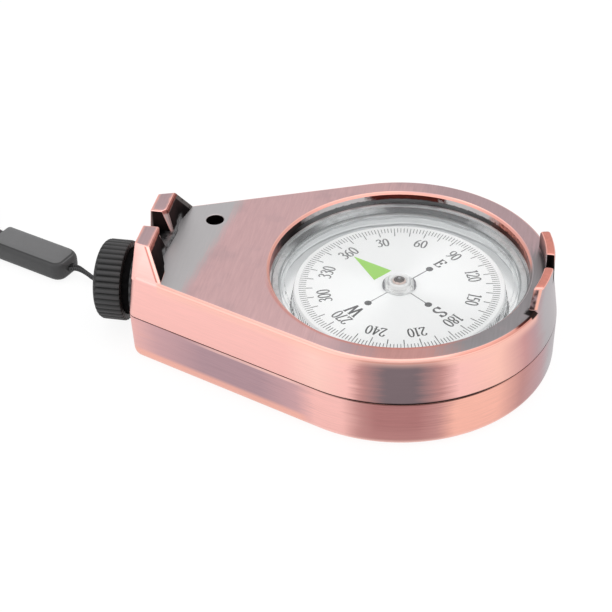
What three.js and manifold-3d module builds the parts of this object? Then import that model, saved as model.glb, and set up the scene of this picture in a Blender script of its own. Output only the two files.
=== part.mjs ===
// Pocket compass: a teardrop metal case with open sights, a floating dial in a clear capsule,
// a focusing eyepiece that reads the dial's edge, and a wrist lanyard.
// Millimetres, +Z up. The dial's pivot stands on the Z axis, the case rests on z = 0,
// the front sight is towards +X and the eyepiece looks out along -X.

import * as THREE from 'three';
import { mergeVertices } from 'three/addons/utils/BufferGeometryUtils.js';
import Module from 'manifold-3d';

const wasm = await Module();
wasm.setup();

// Units and clearances
const degree = Math.PI / 180;
const fitGap = 0.3; // between pieces that seat on each other
const overrun = 1; // how far a cut runs past the face that it opens
const weldDistance = 0.0001;

// Case. Its round end fits round the capsule, and its height holds the capsule's pieces.
const caseReach = 50.6; // pivot to the narrow end's wall, at the seam
const narrowEndHalf = 12.15; // half the width that the straight sides close in to there
const capsuleRoom = 1; // capsule's flange to the lower shell's wall
const seamHeight = 10.5;
const upperDraft = 7.3 * degree;
const lowerDraft = 1.1 * degree;
const cornerRadius = 2; // upright corners of the narrow end
const innerCornerRadius = 1;
const topEdgeRadius = 0.9;
const bottomEdgeRadius = 2.5;
const topPlate = 2.7;
const floorPlate = 2.2;
const upperWall = 2;
const lowerWall = 3.2;
const lipHeight = 1.2; // rim of the lower shell that locates the upper one

// Dial opening in the top plate
const boreRim = 0.4; // past the capsule's wall
const boreBevel = 0.5;

// Rear sight: two horns with a notch between them
const rearSightHeight = 5.5;
const rearSightLength = 6.2;
const rearSightEndLean = 0.45;
const rearSightDialLean = 2.6;
const rearSightSideLeanAtEnd = 3;
const rearSightSideLeanAtDial = 4.4;
const rearSightSink = 0.1; // base line inside the case's side
const rearSightHollow = 1; // how far its dial side is drawn back in the middle, at the foot
const rearSightHollowHalf = 4.2;
const rearNotchWidth = 5;
const rearNotchSill = 1;
const rearNotchFlare = 1.1; // corners cut off the horns where the notch meets the dial side
const rearSightBevel = 0.5;

// Front sight: a curved wall with a slot
const frontSightHeight = 4;
const frontSightInset = 1.05; // its outer face inside the case's side
const frontSightThickness = 1.75;
const nearWingTop = 8.7; // each wing's reach from the middle; the near one slopes most
const nearWingBase = 10.4;
const farWingTop = 9.9;
const farWingBase = 10;
const frontSlotWidth = 4;
const frontSightRoot = 1.2; // how deep it grows out of the top plate

// Through hole beside the rear sight
const lanyardHoleRadius = 1.75;
const lanyardHoleFromEnd = 12.5;
const lanyardHoleOffset = 9.2;
const lanyardHoleWall = 1.5;

// Case screws, driven from below
const screwRadius = 1;
const screwEndRoom = 2.2; // screw's end to the underside of the top plate
const screwHeadRadius = 2;
const screwHeadHeight = 1.3;
const screwSink = 0.4; // head below the resting face
const screwSlotWidth = 0.6;
const screwSlotLength = 2.4;
const screwSlotDepth = 0.7;
const bossRadius = 2.6;
const bossRoom = 0.6;
const shoulderScrewAngle = 150 * degree;
const tailScrewRoom = 1.1;

// Clear capsule
const padThickness = 1.2;
const padInset = 1.2; // inside the cup's wall
const padWidth = 5;
const cupWall = 1.4;
const cupFloor = 1.4;
const flangeRim = 1.6; // flange past the cup's wall
const flangeHeight = 1.5;
const windowDepth = 2; // window's top face below the case's
const windowThickness = 0.9;
const windowPlugWall = 0.8;
const windowPlugDepth = 1.2;
const sealThickness = 0.6;
const sealSeatRim = 1.4; // flange wall outside the seal

// Floating dial
const cardRadius = 20;
const cardRoom = 1.4; // skirt to the cup's wall
const cardDepth = 5.1; // dial face below the case's top face
const cardThickness = 0.5;
const skirtHeight = 6.3;
const skirtFlare = 1.4;
const skirtRoom = 2.3; // skirt to the cup's floor
const northAngle = 141.5 * degree; // as photographed, from the X axis
const hubRadius = 3.2;
const hubNeckRadius = 2.3;
const hubFlange = 0.5;
const hubCrownRadius = 2.2;
const hubCrown = 1.2;
const hubNeckDepth = 1.2;
const jewelRadius = 1.3;
const jewelTop = 1.9; // above the dial face
const jewelDepth = 1.4; // below the dial face
const jewelDome = 0.8;
const jewelConeRadius = 0.8;
const jewelWall = 0.8;
const magnetLength = 20;
const magnetWidth = 3;
const magnetHeight = 1.4;
const magnetSpacing = 10;

// Pivot
const postRadius = 1.2;
const postFootRadius = 2.8;
const postFootHeight = 0.8;
const pinRadius = 0.4;
const pinSocketDepth = 3;
const pinPoint = 1.6;
const tipPlay = 0.3;
const postRoom = 0.4; // post to the jewel above it

// Index plate, seen through the eyepiece in front of the dial's edge
const indexThickness = 1;
const indexWidth = 9;
const indexFromCup = 2;
const indexSlotDepth = 2.4;
const indexSlotWall = 0.9;
const indexSlotHeight = 3;

// Eyepiece, half way between the case's floor and its top plate
const barrelBore = 5;
const barrelWaistWall = 0.8;
const barrelStep = 0.6; // waist to neck
const barrelFlangeStep = 1.2; // waist to flange
const barrelFlangeThickness = 1.5;
const ringGap = 3; // case wall to the ring, as photographed
const ringWall = 1.6; // neck to the tops of the ribs
const ringLength = 5.7;
const ringFace = 1.4;
const ringChamfer = 1;
const ringRibDepth = 0.35;
const ringRibs = 40;
const eyeHoleRadius = 3.4;
const eyeHoleFlare = 0.7;
const focusTravelIn = 1.1;
const cellWall = 0.7;
const cellLedge = 0.8;
const cellLength = 9;
const lensEdge = 1.2;
const lensBulge = 0.6;
const retainerInset = 0.3;
const retainerThickness = 0.8;
const retainerWidth = 0.8;

// Lanyard. The sleeve lies on the same surface as the case.
const threadDiameter = 0.8;
const threadSpacing = 1.2;
const sleeveLength = 18.7;
const sleeveWidth = 7.2;
const sleeveHeight = 4.9;
const sleeveCorner = 1.6;
const sleeveNose = 2.6;
const sleeveThroat = 5; // nose to the chamber
const sleeveTipShare = 0.45; // of the width and height, at the very nose
const sleeveHeading = 159.1 * degree;
const sleeveX = -70.8;
const sleeveY = 11.7;
const cordDiameter = 2.4;
const cordSpacing = 3;
const crimpLength = 4;
const crimpInset = 0.3;

// The wrist cord is put away as a coil of two layers that winds in below and out above.
const coilReach = 45.6; // sleeve's nose to the coil's centre
const coilRadius = 15.5;
const coilPitch = 3;
const coilRise = 3;
const coilFullTurns = 3;
const coilLoopSteps = 24;
const tieThickness = 0.6;
const tieWidth = 4;
const tieRoom = 0.3;

// How finely curves are divided
const caseSteps = 48;
const cornerSteps = 4;
const edgeSteps = 4;
const roundSteps = 48;
const smallSteps = 24;
const noseSteps = 5;
const threadSides = 8;
const threadSteps = 76;
const runSteps = 8;
const coilSides = 6;

// Heights and places that follow from the sizes above
const seamLow = seamHeight - fitGap / 2;
const seamHigh = seamHeight + fitGap / 2;
const padLow = floorPlate + fitGap;
const cupLow = padLow + padThickness + fitGap;
const skirtLow = cupLow + cupFloor + skirtRoom;
const cardLow = skirtLow + skirtHeight;
const cardTop = cardLow + cardThickness;
const caseHeight = cardTop + cardDepth;
const plateUnderside = caseHeight - topPlate;
const cupInnerRadius = cardRadius + skirtFlare + cardRoom;
const cupRadius = cupInnerRadius + cupWall;
const flangeRadius = cupRadius + flangeRim;
const boreRadius = cupRadius + boreRim;
const caseRadius = flangeRadius + capsuleRoom + lowerWall; // at the seam
const frontSightOuter = caseRadius - frontSightInset;
const frontSightInner = frontSightOuter - frontSightThickness;
const sideAngle = Math.asin(caseRadius / Math.hypot(caseReach, narrowEndHalf))
  - Math.atan(narrowEndHalf / caseReach); // each straight side, from the X axis
const screwLength = plateUnderside - screwSink - screwHeadHeight - screwEndRoom;
const flangeTop = plateUnderside - fitGap;
const windowTop = caseHeight - windowDepth;
const windowLow = windowTop - windowThickness;
const sealTop = windowLow - fitGap;
const sealLow = sealTop - sealThickness;
const sealSeatRadius = flangeRadius - sealSeatRim;
const screwReach = flangeRadius + fitGap + bossRadius + bossRoom;
const wallInside = lowerWall - caseReach;
const eyeHeight = (floorPlate + plateUnderside) / 2;
const barrelWaist = barrelBore + barrelWaistWall;
const barrelNeck = barrelWaist + barrelStep;
const barrelFlange = barrelWaist + barrelFlangeStep;
const ringRadius = barrelNeck + ringWall;
const barrelInnerX = wallInside + fitGap + barrelFlangeThickness;
const ringInnerX = -caseReach - ringGap;
const ringOuterX = ringInnerX - ringLength;
const ringFaceX = ringOuterX + ringFace;
const barrelOuterX = ringFaceX + focusTravelIn + fitGap;
const cellOuterX = ringFaceX + fitGap;
const cellRadius = barrelBore - fitGap;
const lensSeatRadius = cellRadius - cellWall;
const lensRadius = lensSeatRadius - fitGap;
const lensX = cellOuterX + retainerInset + retainerThickness + fitGap + lensBulge / 2;
const holeX = lanyardHoleFromEnd - caseReach;

// Materials
function material(color, roughness, metalness) {
  return new THREE.MeshStandardMaterial({ color, roughness, metalness });
}
const copper = material(0xc99a8e, 0.35, 1);
const brass = material(0xb89a55, 0.35, 1);
const steel = material(0x8d9196, 0.3, 1);
const magnetSteel = material(0x4b4d50, 0.5, 0.8);
const clearPlastic = material(0xdfe6e8, 0.1, 0);
const cardWhite = material(0xf2f2f0, 0.6, 0);
const jewel = material(0x4a3a38, 0.15, 0.3);
const blackPlastic = material(0x2c2c2d, 0.55, 0);
const blackRubber = material(0x1d1d1e, 0.8, 0);
const blackCord = material(0x202022, 0.85, 0);

// Mesh tools

// One closed body with shared corners, no empty triangles and its faces outwards.
function welded(geometry) {
  const bare = new THREE.BufferGeometry();
  bare.setAttribute('position', geometry.getAttribute('position').clone());
  if (geometry.index) bare.setIndex(Array.from(geometry.index.array));
  const merged = mergeVertices(bare, weldDistance);
  const place = merged.getAttribute('position');
  const kept = [];
  let volume = 0;
  const corners = [new THREE.Vector3(), new THREE.Vector3(), new THREE.Vector3()];
  for (let i = 0; i < merged.index.count; i += 3) {
    const ids = [0, 1, 2].map((k) => merged.index.getX(i + k));
    if (ids[0] === ids[1] || ids[1] === ids[2] || ids[2] === ids[0]) continue;
    kept.push(ids);
    ids.forEach((id, k) => corners[k].fromBufferAttribute(place, id));
    volume += corners[0].dot(corners[1].clone().cross(corners[2]));
  }
  if (volume < 0) kept.forEach((ids) => ids.reverse());
  merged.setIndex(kept.flat());
  return merged;
}

function solid(geometry) {
  const mesh = welded(geometry);
  return new wasm.Manifold(new wasm.Mesh({
    numProp: 3,
    vertProperties: new Float32Array(mesh.getAttribute('position').array),
    triVerts: new Uint32Array(mesh.index.array),
  }));
}

function meshed(body) {
  const mesh = body.getMesh();
  const geometry = new THREE.BufferGeometry();
  geometry.setAttribute('position', new THREE.BufferAttribute(new Float32Array(mesh.vertProperties), 3));
  geometry.setIndex(new THREE.BufferAttribute(new Uint32Array(mesh.triVerts), 1));
  return geometry;
}

function joined(first, ...others) {
  return others.reduce((body, other) => body.add(other), first);
}

function cut(body, ...tools) {
  return tools.reduce((rest, tool) => rest.subtract(tool), body);
}

// A solid through flat outlines of as many points each, stacked along Z.
function stack(levels) {
  const count = levels[0].points.length;
  const places = [];
  const faces = [];
  levels.forEach(({ z, points }) => points.forEach(([x, y]) => places.push(x, y, z)));
  for (let level = 0; level + 1 < levels.length; level += 1) {
    for (let i = 0; i < count; i += 1) {
      const a = level * count + i;
      const b = level * count + ((i + 1) % count);
      faces.push(a, b, b + count, a, b + count, a + count);
    }
  }
  const cap = (level, turned) => {
    const { z, points } = levels[level];
    const middle = places.length / 3;
    const sum = points.reduce(([sx, sy], [x, y]) => [sx + x, sy + y], [0, 0]);
    places.push(sum[0] / count, sum[1] / count, z);
    for (let i = 0; i < count; i += 1) {
      const a = level * count + i;
      const b = level * count + ((i + 1) % count);
      faces.push(...(turned ? [middle, b, a] : [middle, a, b]));
    }
  };
  cap(0, true);
  cap(levels.length - 1, false);
  const geometry = new THREE.BufferGeometry();
  geometry.setAttribute('position', new THREE.Float32BufferAttribute(places, 3));
  geometry.setIndex(faces);
  return geometry;
}

function arc(centreX, centreY, radius, from, to, steps) {
  return Array.from({ length: steps + 1 }, (_, k) => {
    const angle = from + ((to - from) * k) / steps;
    return [centreX + radius * Math.cos(angle), centreY + radius * Math.sin(angle)];
  });
}

// Turned about the Z axis from [radius, height] pairs.
function turned(profile, steps = roundSteps) {
  const points = profile.map(([radius, height]) => new THREE.Vector2(radius, height));
  return new THREE.LatheGeometry(points, steps).rotateX(Math.PI / 2);
}

// Turned about the eyepiece's axis from [x, radius] pairs.
function turnedOnEye(profile, steps = roundSteps) {
  const points = profile.map(([x, radius]) => new THREE.Vector2(radius, x));
  return new THREE.LatheGeometry(points, steps).rotateZ(-Math.PI / 2).translate(0, 0, eyeHeight);
}

function rod(radius, low, high, x = 0, y = 0, steps = smallSteps) {
  const length = high - low;
  return new THREE.CylinderGeometry(radius, radius, length, steps)
    .rotateX(Math.PI / 2)
    .translate(x, y, low + length / 2);
}

function block(x0, x1, y0, y1, z0, z1) {
  return new THREE.BoxGeometry(x1 - x0, y1 - y0, z1 - z0)
    .translate((x0 + x1) / 2, (y0 + y1) / 2, (z0 + z1) / 2);
}

// Case outline, drawn in by an inset: the round end, two tangent sides and the narrow end.
function halfWidth(x, inset) {
  return (caseRadius - inset + Math.sin(sideAngle) * x) / Math.cos(sideAngle);
}

function outline(inset, corner) {
  const tangent = Math.PI / 2 + sideAngle;
  const cornerX = corner + inset - caseReach;
  const cornerY = halfWidth(cornerX, inset + corner);
  return [
    ...arc(0, 0, caseRadius - inset, -tangent, tangent, caseSteps),
    ...arc(cornerX, cornerY, corner, tangent, Math.PI, cornerSteps),
    ...arc(cornerX, -cornerY, corner, Math.PI, 2 * Math.PI - tangent, cornerSteps),
  ];
}

function caseLevel(z, inset, corner = cornerRadius) {
  return { z, points: outline(inset, corner) };
}

function upperInset(z) {
  return (z - seamHeight) * Math.tan(upperDraft);
}

function lowerInset(z) {
  return (seamHeight - z) * Math.tan(lowerDraft);
}

// Places of the case screws, as [x, y]
const tailScrewX = barrelInnerX + bossRadius + tailScrewRoom;
const tailScrewY = -(halfWidth(tailScrewX, lowerWall) - bossRadius - tailScrewRoom);
const screwPlaces = [
  [screwReach * Math.cos(shoulderScrewAngle), screwReach * Math.sin(shoulderScrewAngle)],
  [screwReach * Math.cos(shoulderScrewAngle), -screwReach * Math.sin(shoulderScrewAngle)],
  [tailScrewX, tailScrewY],
];

// The way through both shells for the eyepiece's barrel and its flange
function barrelWay() {
  const waist = barrelWaist + fitGap;
  const flange = barrelFlange + fitGap;
  return solid(turnedOnEye([
    [-caseReach - overrun, 0],
    [-caseReach - overrun, waist],
    [wallInside, waist],
    [wallInside, flange],
    [barrelInnerX + fitGap, flange],
    [barrelInnerX + fitGap, 0],
  ], smallSteps));
}

function lanyardHole() {
  return solid(rod(lanyardHoleRadius, -overrun, caseHeight + overrun, holeX, lanyardHoleOffset));
}

// The two horns grow out of the case's edge and lean in on all sides.
function rearSight() {
  const low = caseHeight - topEdgeRadius;
  const high = caseHeight + rearSightHeight;
  const baseEnd = rearSightSink + upperInset(low) - caseReach;
  const baseDial = baseEnd + rearSightLength;
  const sideInset = upperInset(low) + rearSightSink;
  const corners = (endX, dialX, endHalf, dialHalf, hollow) => [
    [dialX, -dialHalf],
    [dialX - hollow, -rearSightHollowHalf],
    [dialX - hollow, rearSightHollowHalf],
    [dialX, dialHalf],
    [endX, endHalf],
    [endX, -endHalf],
  ];
  const horn = (share, bevel) => corners(
    baseEnd + rearSightEndLean * share + bevel,
    baseDial - rearSightDialLean * share - bevel,
    halfWidth(baseEnd, sideInset) - rearSightSideLeanAtEnd * share - bevel,
    halfWidth(baseDial, sideInset) - rearSightSideLeanAtDial * share - bevel,
    rearSightHollow * (1 - share),
  );
  const bevelShare = (rearSightHeight - rearSightBevel) / rearSightHeight;
  const body = solid(stack([
    { z: low, points: horn(0, 0) },
    { z: high - rearSightBevel, points: horn(bevelShare, 0) },
    { z: high, points: horn(1, rearSightBevel) },
  ]));
  const half = rearNotchWidth / 2;
  const notch = (z) => {
    const flareX = baseDial - rearSightDialLean * (z - low) / (high - low) - rearNotchFlare;
    const reach = rearNotchFlare + overrun;
    return { z, points: [
      [baseEnd - overrun, half],
      [baseEnd - overrun, -half],
      [flareX, -half],
      [flareX + reach, -half - reach],
      [flareX + reach, half + reach],
      [flareX, half],
    ] };
  };
  return cut(body, solid(stack([notch(caseHeight + rearNotchSill), notch(high + overrun)])));
}

function frontSight() {
  const low = caseHeight - frontSightRoot;
  const high = caseHeight + frontSightHeight;
  const wall = solid(turned([
    [frontSightInner, low],
    [frontSightOuter, low],
    [frontSightOuter, high],
    [frontSightInner, high],
    [frontSightInner, low],
  ], caseSteps * 2));
  const span = (z) => {
    const depth = (high - z) / frontSightHeight;
    const near = nearWingTop + (nearWingBase - nearWingTop) * depth;
    const far = farWingTop + (farWingBase - farWingTop) * depth;
    return [[0, -near], [caseRadius, -near], [caseRadius, far], [0, far]];
  };
  const wedge = solid(stack([
    { z: low - overrun, points: span(low - overrun) },
    { z: high + overrun, points: span(high + overrun) },
  ]));
  const half = frontSlotWidth / 2;
  const slot = solid(block(0, caseRadius, -half, half, caseHeight, high + overrun));
  return cut(wall.intersect(wedge), slot);
}

function upperShell() {
  const edgeStart = caseHeight - topEdgeRadius;
  const edge = Array.from({ length: edgeSteps + 1 }, (_, k) => {
    const turn = (k / edgeSteps) * (Math.PI / 2);
    const inset = upperInset(edgeStart) + topEdgeRadius * (1 - Math.cos(turn));
    return caseLevel(edgeStart + topEdgeRadius * Math.sin(turn), inset);
  });
  const skin = solid(stack([caseLevel(seamHigh, upperInset(seamHigh)), ...edge]));
  const cavity = solid(stack([
    caseLevel(seamLow - overrun, upperWall, innerCornerRadius),
    caseLevel(seamHigh, upperWall, innerCornerRadius),
    caseLevel(plateUnderside, upperWall + upperInset(plateUnderside), innerCornerRadius),
  ]));
  const bosses = screwPlaces.map(([x, y]) => solid(
    rod(bossRadius, seamHigh, plateUnderside + fitGap, x, y),
  ));
  const holeBoss = solid(rod(
    lanyardHoleRadius + lanyardHoleWall,
    seamHigh,
    plateUnderside + fitGap,
    holeX,
    lanyardHoleOffset,
  ));
  const bevelTop = boreBevel + overrun;
  const dialOpening = solid(turned([
    [0, seamLow],
    [boreRadius, seamLow],
    [boreRadius, caseHeight - boreBevel],
    [boreRadius + bevelTop, caseHeight + overrun],
    [0, caseHeight + overrun],
  ], caseSteps * 2));
  const screwTop = screwSink + screwHeadHeight + screwLength + fitGap;
  const screwHoles = screwPlaces.map(([x, y]) => solid(
    rod(screwRadius + fitGap, seamLow, screwTop, x, y),
  ));
  return cut(
    joined(cut(joined(skin, rearSight(), frontSight()), cavity), holeBoss, ...bosses),
    dialOpening,
    lanyardHole(),
    barrelWay(),
    ...screwHoles,
  );
}

function lowerShell() {
  const edge = Array.from({ length: edgeSteps + 1 }, (_, k) => {
    const turn = (k / edgeSteps) * (Math.PI / 2);
    const inset = lowerInset(bottomEdgeRadius) + bottomEdgeRadius * (1 - Math.sin(turn));
    return caseLevel(bottomEdgeRadius * (1 - Math.cos(turn)), inset);
  });
  const skin = solid(stack([...edge, caseLevel(seamLow, lowerInset(seamLow))]));
  const lipTop = seamHeight + lipHeight;
  const lipInset = upperWall + upperInset(lipTop) + fitGap;
  const lip = solid(stack([
    caseLevel(seamLow - overrun, lipInset, innerCornerRadius),
    caseLevel(lipTop, lipInset, innerCornerRadius),
  ]));
  const cavity = solid(stack([
    caseLevel(floorPlate, lowerWall, innerCornerRadius),
    caseLevel(lipTop + overrun, lowerWall, innerCornerRadius),
  ]));
  const headRadius = screwHeadRadius + fitGap;
  const headSeat = screwSink + screwHeadHeight + fitGap;
  const bosses = screwPlaces.map(([x, y]) => solid(
    rod(bossRadius, floorPlate - fitGap, seamLow, x, y),
  ));
  const seats = screwPlaces.map(([x, y]) => solid(rod(headRadius, -overrun, headSeat, x, y)));
  const screwHoles = screwPlaces.map(([x, y]) => solid(
    rod(screwRadius + fitGap, -overrun, seamHigh, x, y),
  ));
  const holeBoss = solid(rod(
    lanyardHoleRadius + lanyardHoleWall,
    floorPlate - fitGap,
    seamLow,
    holeX,
    lanyardHoleOffset,
  ));
  return cut(
    joined(cut(joined(skin, lip), cavity), holeBoss, indexHolder(), ...bosses),
    lanyardHole(),
    barrelWay(),
    indexSlot(),
    ...seats,
    ...screwHoles,
  );
}

// Index plate and the slotted block that holds it
const indexX = -cupRadius - indexFromCup - indexThickness / 2;
const indexFoot = floorPlate + indexSlotHeight - indexSlotDepth;

function indexHolder() {
  const reach = indexThickness / 2 + fitGap + indexSlotWall;
  const half = indexWidth / 2 + fitGap + indexSlotWall;
  return solid(block(
    indexX - reach,
    indexX + reach,
    -half,
    half,
    floorPlate - fitGap,
    floorPlate + indexSlotHeight,
  ));
}

function indexSlot() {
  const reach = indexThickness / 2 + fitGap;
  const half = indexWidth / 2 + fitGap;
  const top = floorPlate + indexSlotHeight + overrun;
  return solid(block(indexX - reach, indexX + reach, -half, half, indexFoot, top));
}

function indexPlate() {
  const half = indexThickness / 2;
  return block(
    indexX - half,
    indexX + half,
    -indexWidth / 2,
    indexWidth / 2,
    indexFoot + fitGap,
    flangeTop - flangeHeight - fitGap,
  );
}

function caseScrew([x, y]) {
  const headTop = screwSink + screwHeadHeight;
  const body = solid(turned([
    [0, screwSink],
    [screwHeadRadius, screwSink],
    [screwHeadRadius, headTop],
    [screwRadius, headTop],
    [screwRadius, headTop + screwLength],
    [0, headTop + screwLength],
  ], smallSteps));
  const slotTop = screwSink + screwSlotDepth;
  const long = screwSlotLength / 2;
  const thin = screwSlotWidth / 2;
  const cross = [
    solid(block(-long, long, -thin, thin, -overrun, slotTop)),
    solid(block(-thin, thin, -long, long, -overrun, slotTop)),
  ];
  return meshed(cut(body, ...cross)).translate(x, y, 0);
}

// Capsule

function capsuleCup() {
  const ledge = sealLow - fitGap;
  return turned([
    [0, cupLow],
    [cupRadius, cupLow],
    [cupRadius, flangeTop - flangeHeight],
    [flangeRadius, flangeTop - flangeHeight],
    [flangeRadius, flangeTop],
    [sealSeatRadius, flangeTop],
    [sealSeatRadius, ledge],
    [cupInnerRadius, ledge],
    [cupInnerRadius, cupLow + cupFloor],
    [0, cupLow + cupFloor],
  ]);
}

function capsuleWindow() {
  const plugRadius = cupInnerRadius - fitGap;
  const plugLow = windowLow - windowPlugDepth;
  return turned([
    [0, windowLow],
    [plugRadius - windowPlugWall, windowLow],
    [plugRadius - windowPlugWall, plugLow],
    [plugRadius, plugLow],
    [plugRadius, windowLow],
    [boreRadius - fitGap, windowLow],
    [boreRadius - fitGap, windowTop],
    [0, windowTop],
  ]);
}

function flatRing(inner, outer, low, high) {
  return turned([[inner, low], [outer, low], [outer, high], [inner, high], [inner, low]]);
}

function capsulePad() {
  const outer = cupRadius - padInset;
  return flatRing(outer - padWidth, outer, padLow, padLow + padThickness);
}

function capsuleSeal() {
  return flatRing(cupInnerRadius + fitGap, sealSeatRadius - fitGap, sealLow, sealTop);
}

// Dial, built with north along +X and turned to its photographed heading by its group

function compassCard() {
  const holeRadius = hubNeckRadius + fitGap;
  return turned([
    [holeRadius, cardLow],
    [cardRadius - cardThickness, cardLow],
    [cardRadius + skirtFlare - cardThickness, skirtLow],
    [cardRadius + skirtFlare, skirtLow],
    [cardRadius, cardTop],
    [holeRadius, cardTop],
    [holeRadius, cardLow],
  ], caseSteps);
}

function cardHub() {
  const seat = cardTop + fitGap;
  const bore = jewelRadius + fitGap;
  return turned([
    [bore, cardLow - hubNeckDepth],
    [hubNeckRadius, cardLow - hubNeckDepth],
    [hubNeckRadius, seat],
    [hubRadius, seat],
    [hubRadius, seat + hubFlange],
    [hubCrownRadius, seat + hubFlange],
    [hubCrownRadius, seat + hubCrown],
    [bore, seat + hubCrown],
    [bore, cardLow - hubNeckDepth],
  ], smallSteps);
}

function jewelBearing() {
  const top = cardTop + jewelTop;
  const dome = Array.from({ length: edgeSteps }, (_, k) => {
    const turn = ((k + 1) / edgeSteps) * (Math.PI / 2);
    return [jewelRadius * Math.cos(turn), top - jewelDome * (1 - Math.sin(turn))];
  });
  return turned([
    [0, top - jewelWall],
    [jewelConeRadius, cardTop - jewelDepth],
    [jewelRadius, cardTop - jewelDepth],
    [jewelRadius, top - jewelDome],
    ...dome,
  ], smallSteps);
}

function cardMagnet(side) {
  const middle = (side * magnetSpacing) / 2;
  const top = cardLow - fitGap;
  return block(
    -magnetLength / 2,
    magnetLength / 2,
    middle - magnetWidth / 2,
    middle + magnetWidth / 2,
    top - magnetHeight,
    top,
  );
}

// Pivot

const pinTip = cardTop + jewelTop - jewelWall - tipPlay;
const postTop = cardTop - jewelDepth - postRoom;

function pivotPost() {
  const foot = cupLow + cupFloor + fitGap;
  const socket = postTop - pinSocketDepth;
  return turned([
    [0, foot],
    [postFootRadius, foot],
    [postFootRadius, foot + postFootHeight],
    [postRadius, foot + postFootHeight],
    [postRadius, postTop],
    [pinRadius + fitGap, postTop],
    [pinRadius + fitGap, socket],
    [0, socket],
  ], smallSteps);
}

function pivotPin() {
  const low = postTop - pinSocketDepth + fitGap;
  return turned([[0, low], [pinRadius, low], [pinRadius, pinTip - pinPoint], [0, pinTip]], smallSteps);
}

// Eyepiece

function eyepieceBarrel() {
  const shoulder = -caseReach - fitGap;
  const flangeX = wallInside + fitGap;
  return turnedOnEye([
    [barrelOuterX, barrelBore],
    [barrelOuterX, barrelNeck],
    [shoulder, barrelNeck],
    [shoulder, barrelWaist],
    [flangeX, barrelWaist],
    [flangeX, barrelFlange],
    [barrelInnerX, barrelFlange],
    [barrelInnerX, barrelBore],
    [barrelOuterX, barrelBore],
  ]);
}

// Straight ribs run along the ring, and both ends are chamfered.
function focusRing() {
  const ribbed = new THREE.Shape();
  const ribShares = [0.1, 0.3, 0.7, 0.9];
  for (let rib = 0; rib < ringRibs; rib += 1) {
    ribShares.forEach((share, k) => {
      const angle = ((rib + share) / ringRibs) * 2 * Math.PI;
      const radius = k === 1 || k === 2 ? ringRadius : ringRadius - ringRibDepth;
      const put = rib === 0 && k === 0 ? 'moveTo' : 'lineTo';
      ribbed[put](radius * Math.cos(angle), radius * Math.sin(angle));
    });
  }
  const grip = solid(new THREE.ExtrudeGeometry(ribbed, { depth: ringLength, bevelEnabled: false })
    .rotateY(Math.PI / 2)
    .translate(ringOuterX, 0, eyeHeight));
  const form = solid(turnedOnEye([
    [ringOuterX, 0],
    [ringOuterX, ringRadius - ringChamfer],
    [ringOuterX + ringChamfer, ringRadius],
    [ringInnerX - ringRibDepth, ringRadius],
    [ringInnerX, ringRadius - ringRibDepth],
    [ringInnerX, 0],
  ], caseSteps * 2));
  const bore = solid(turnedOnEye([
    [ringOuterX - overrun, 0],
    [ringOuterX - overrun, eyeHoleRadius + eyeHoleFlare + overrun],
    [ringOuterX + eyeHoleFlare, eyeHoleRadius],
    [ringFaceX, eyeHoleRadius],
    [ringFaceX, barrelNeck + fitGap],
    [ringInnerX + overrun, barrelNeck + fitGap],
    [ringInnerX + overrun, 0],
  ]));
  return meshed(cut(grip.intersect(form), bore));
}

function lensCell() {
  const seatX = lensX + lensEdge + fitGap;
  const bore = lensSeatRadius - cellLedge;
  return turnedOnEye([
    [cellOuterX, lensSeatRadius],
    [cellOuterX, cellRadius],
    [cellOuterX + cellLength, cellRadius],
    [cellOuterX + cellLength, bore],
    [seatX, bore],
    [seatX, lensSeatRadius],
    [cellOuterX, lensSeatRadius],
  ]);
}

function eyepieceLens() {
  const face = (side) => Array.from({ length: edgeSteps + 1 }, (_, k) => {
    const share = k / edgeSteps;
    return [side * lensBulge * (1 - share * share), lensRadius * share];
  });
  const outer = face(-1).map(([x, radius]) => [lensX + x, radius]);
  const inner = face(1).map(([x, radius]) => [lensX + lensEdge + x, radius]);
  return turnedOnEye([...outer, ...inner.reverse()], smallSteps);
}

function lensRetainer() {
  const near = cellOuterX + retainerInset;
  const far = near + retainerThickness;
  const inner = lensRadius - retainerWidth;
  return turnedOnEye([
    [near, inner],
    [near, lensRadius],
    [far, lensRadius],
    [far, inner],
    [near, inner],
  ], smallSteps);
}

// Lanyard

// A place in the sleeve's own directions: along it from the nose, across it and up.
function fromSleeve(along, across, up) {
  const c = Math.cos(sleeveHeading);
  const s = Math.sin(sleeveHeading);
  return new THREE.Vector3(sleeveX + along * c + across * s, sleeveY + along * s - across * c, up);
}

function onSleeve(geometry) {
  return geometry
    .rotateY(Math.PI / 2)
    .rotateZ(sleeveHeading)
    .translate(sleeveX, sleeveY, sleeveHeight / 2);
}

function roundedBox(width, height, corner) {
  const x = height / 2 - corner;
  const y = width / 2 - corner;
  const quarter = Math.PI / 2;
  return [
    ...arc(x, y, corner, 0, quarter, edgeSteps),
    ...arc(-x, y, corner, quarter, 2 * quarter, edgeSteps),
    ...arc(-x, -y, corner, 2 * quarter, 3 * quarter, edgeSteps),
    ...arc(x, -y, corner, 3 * quarter, 4 * quarter, edgeSteps),
  ];
}

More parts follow.
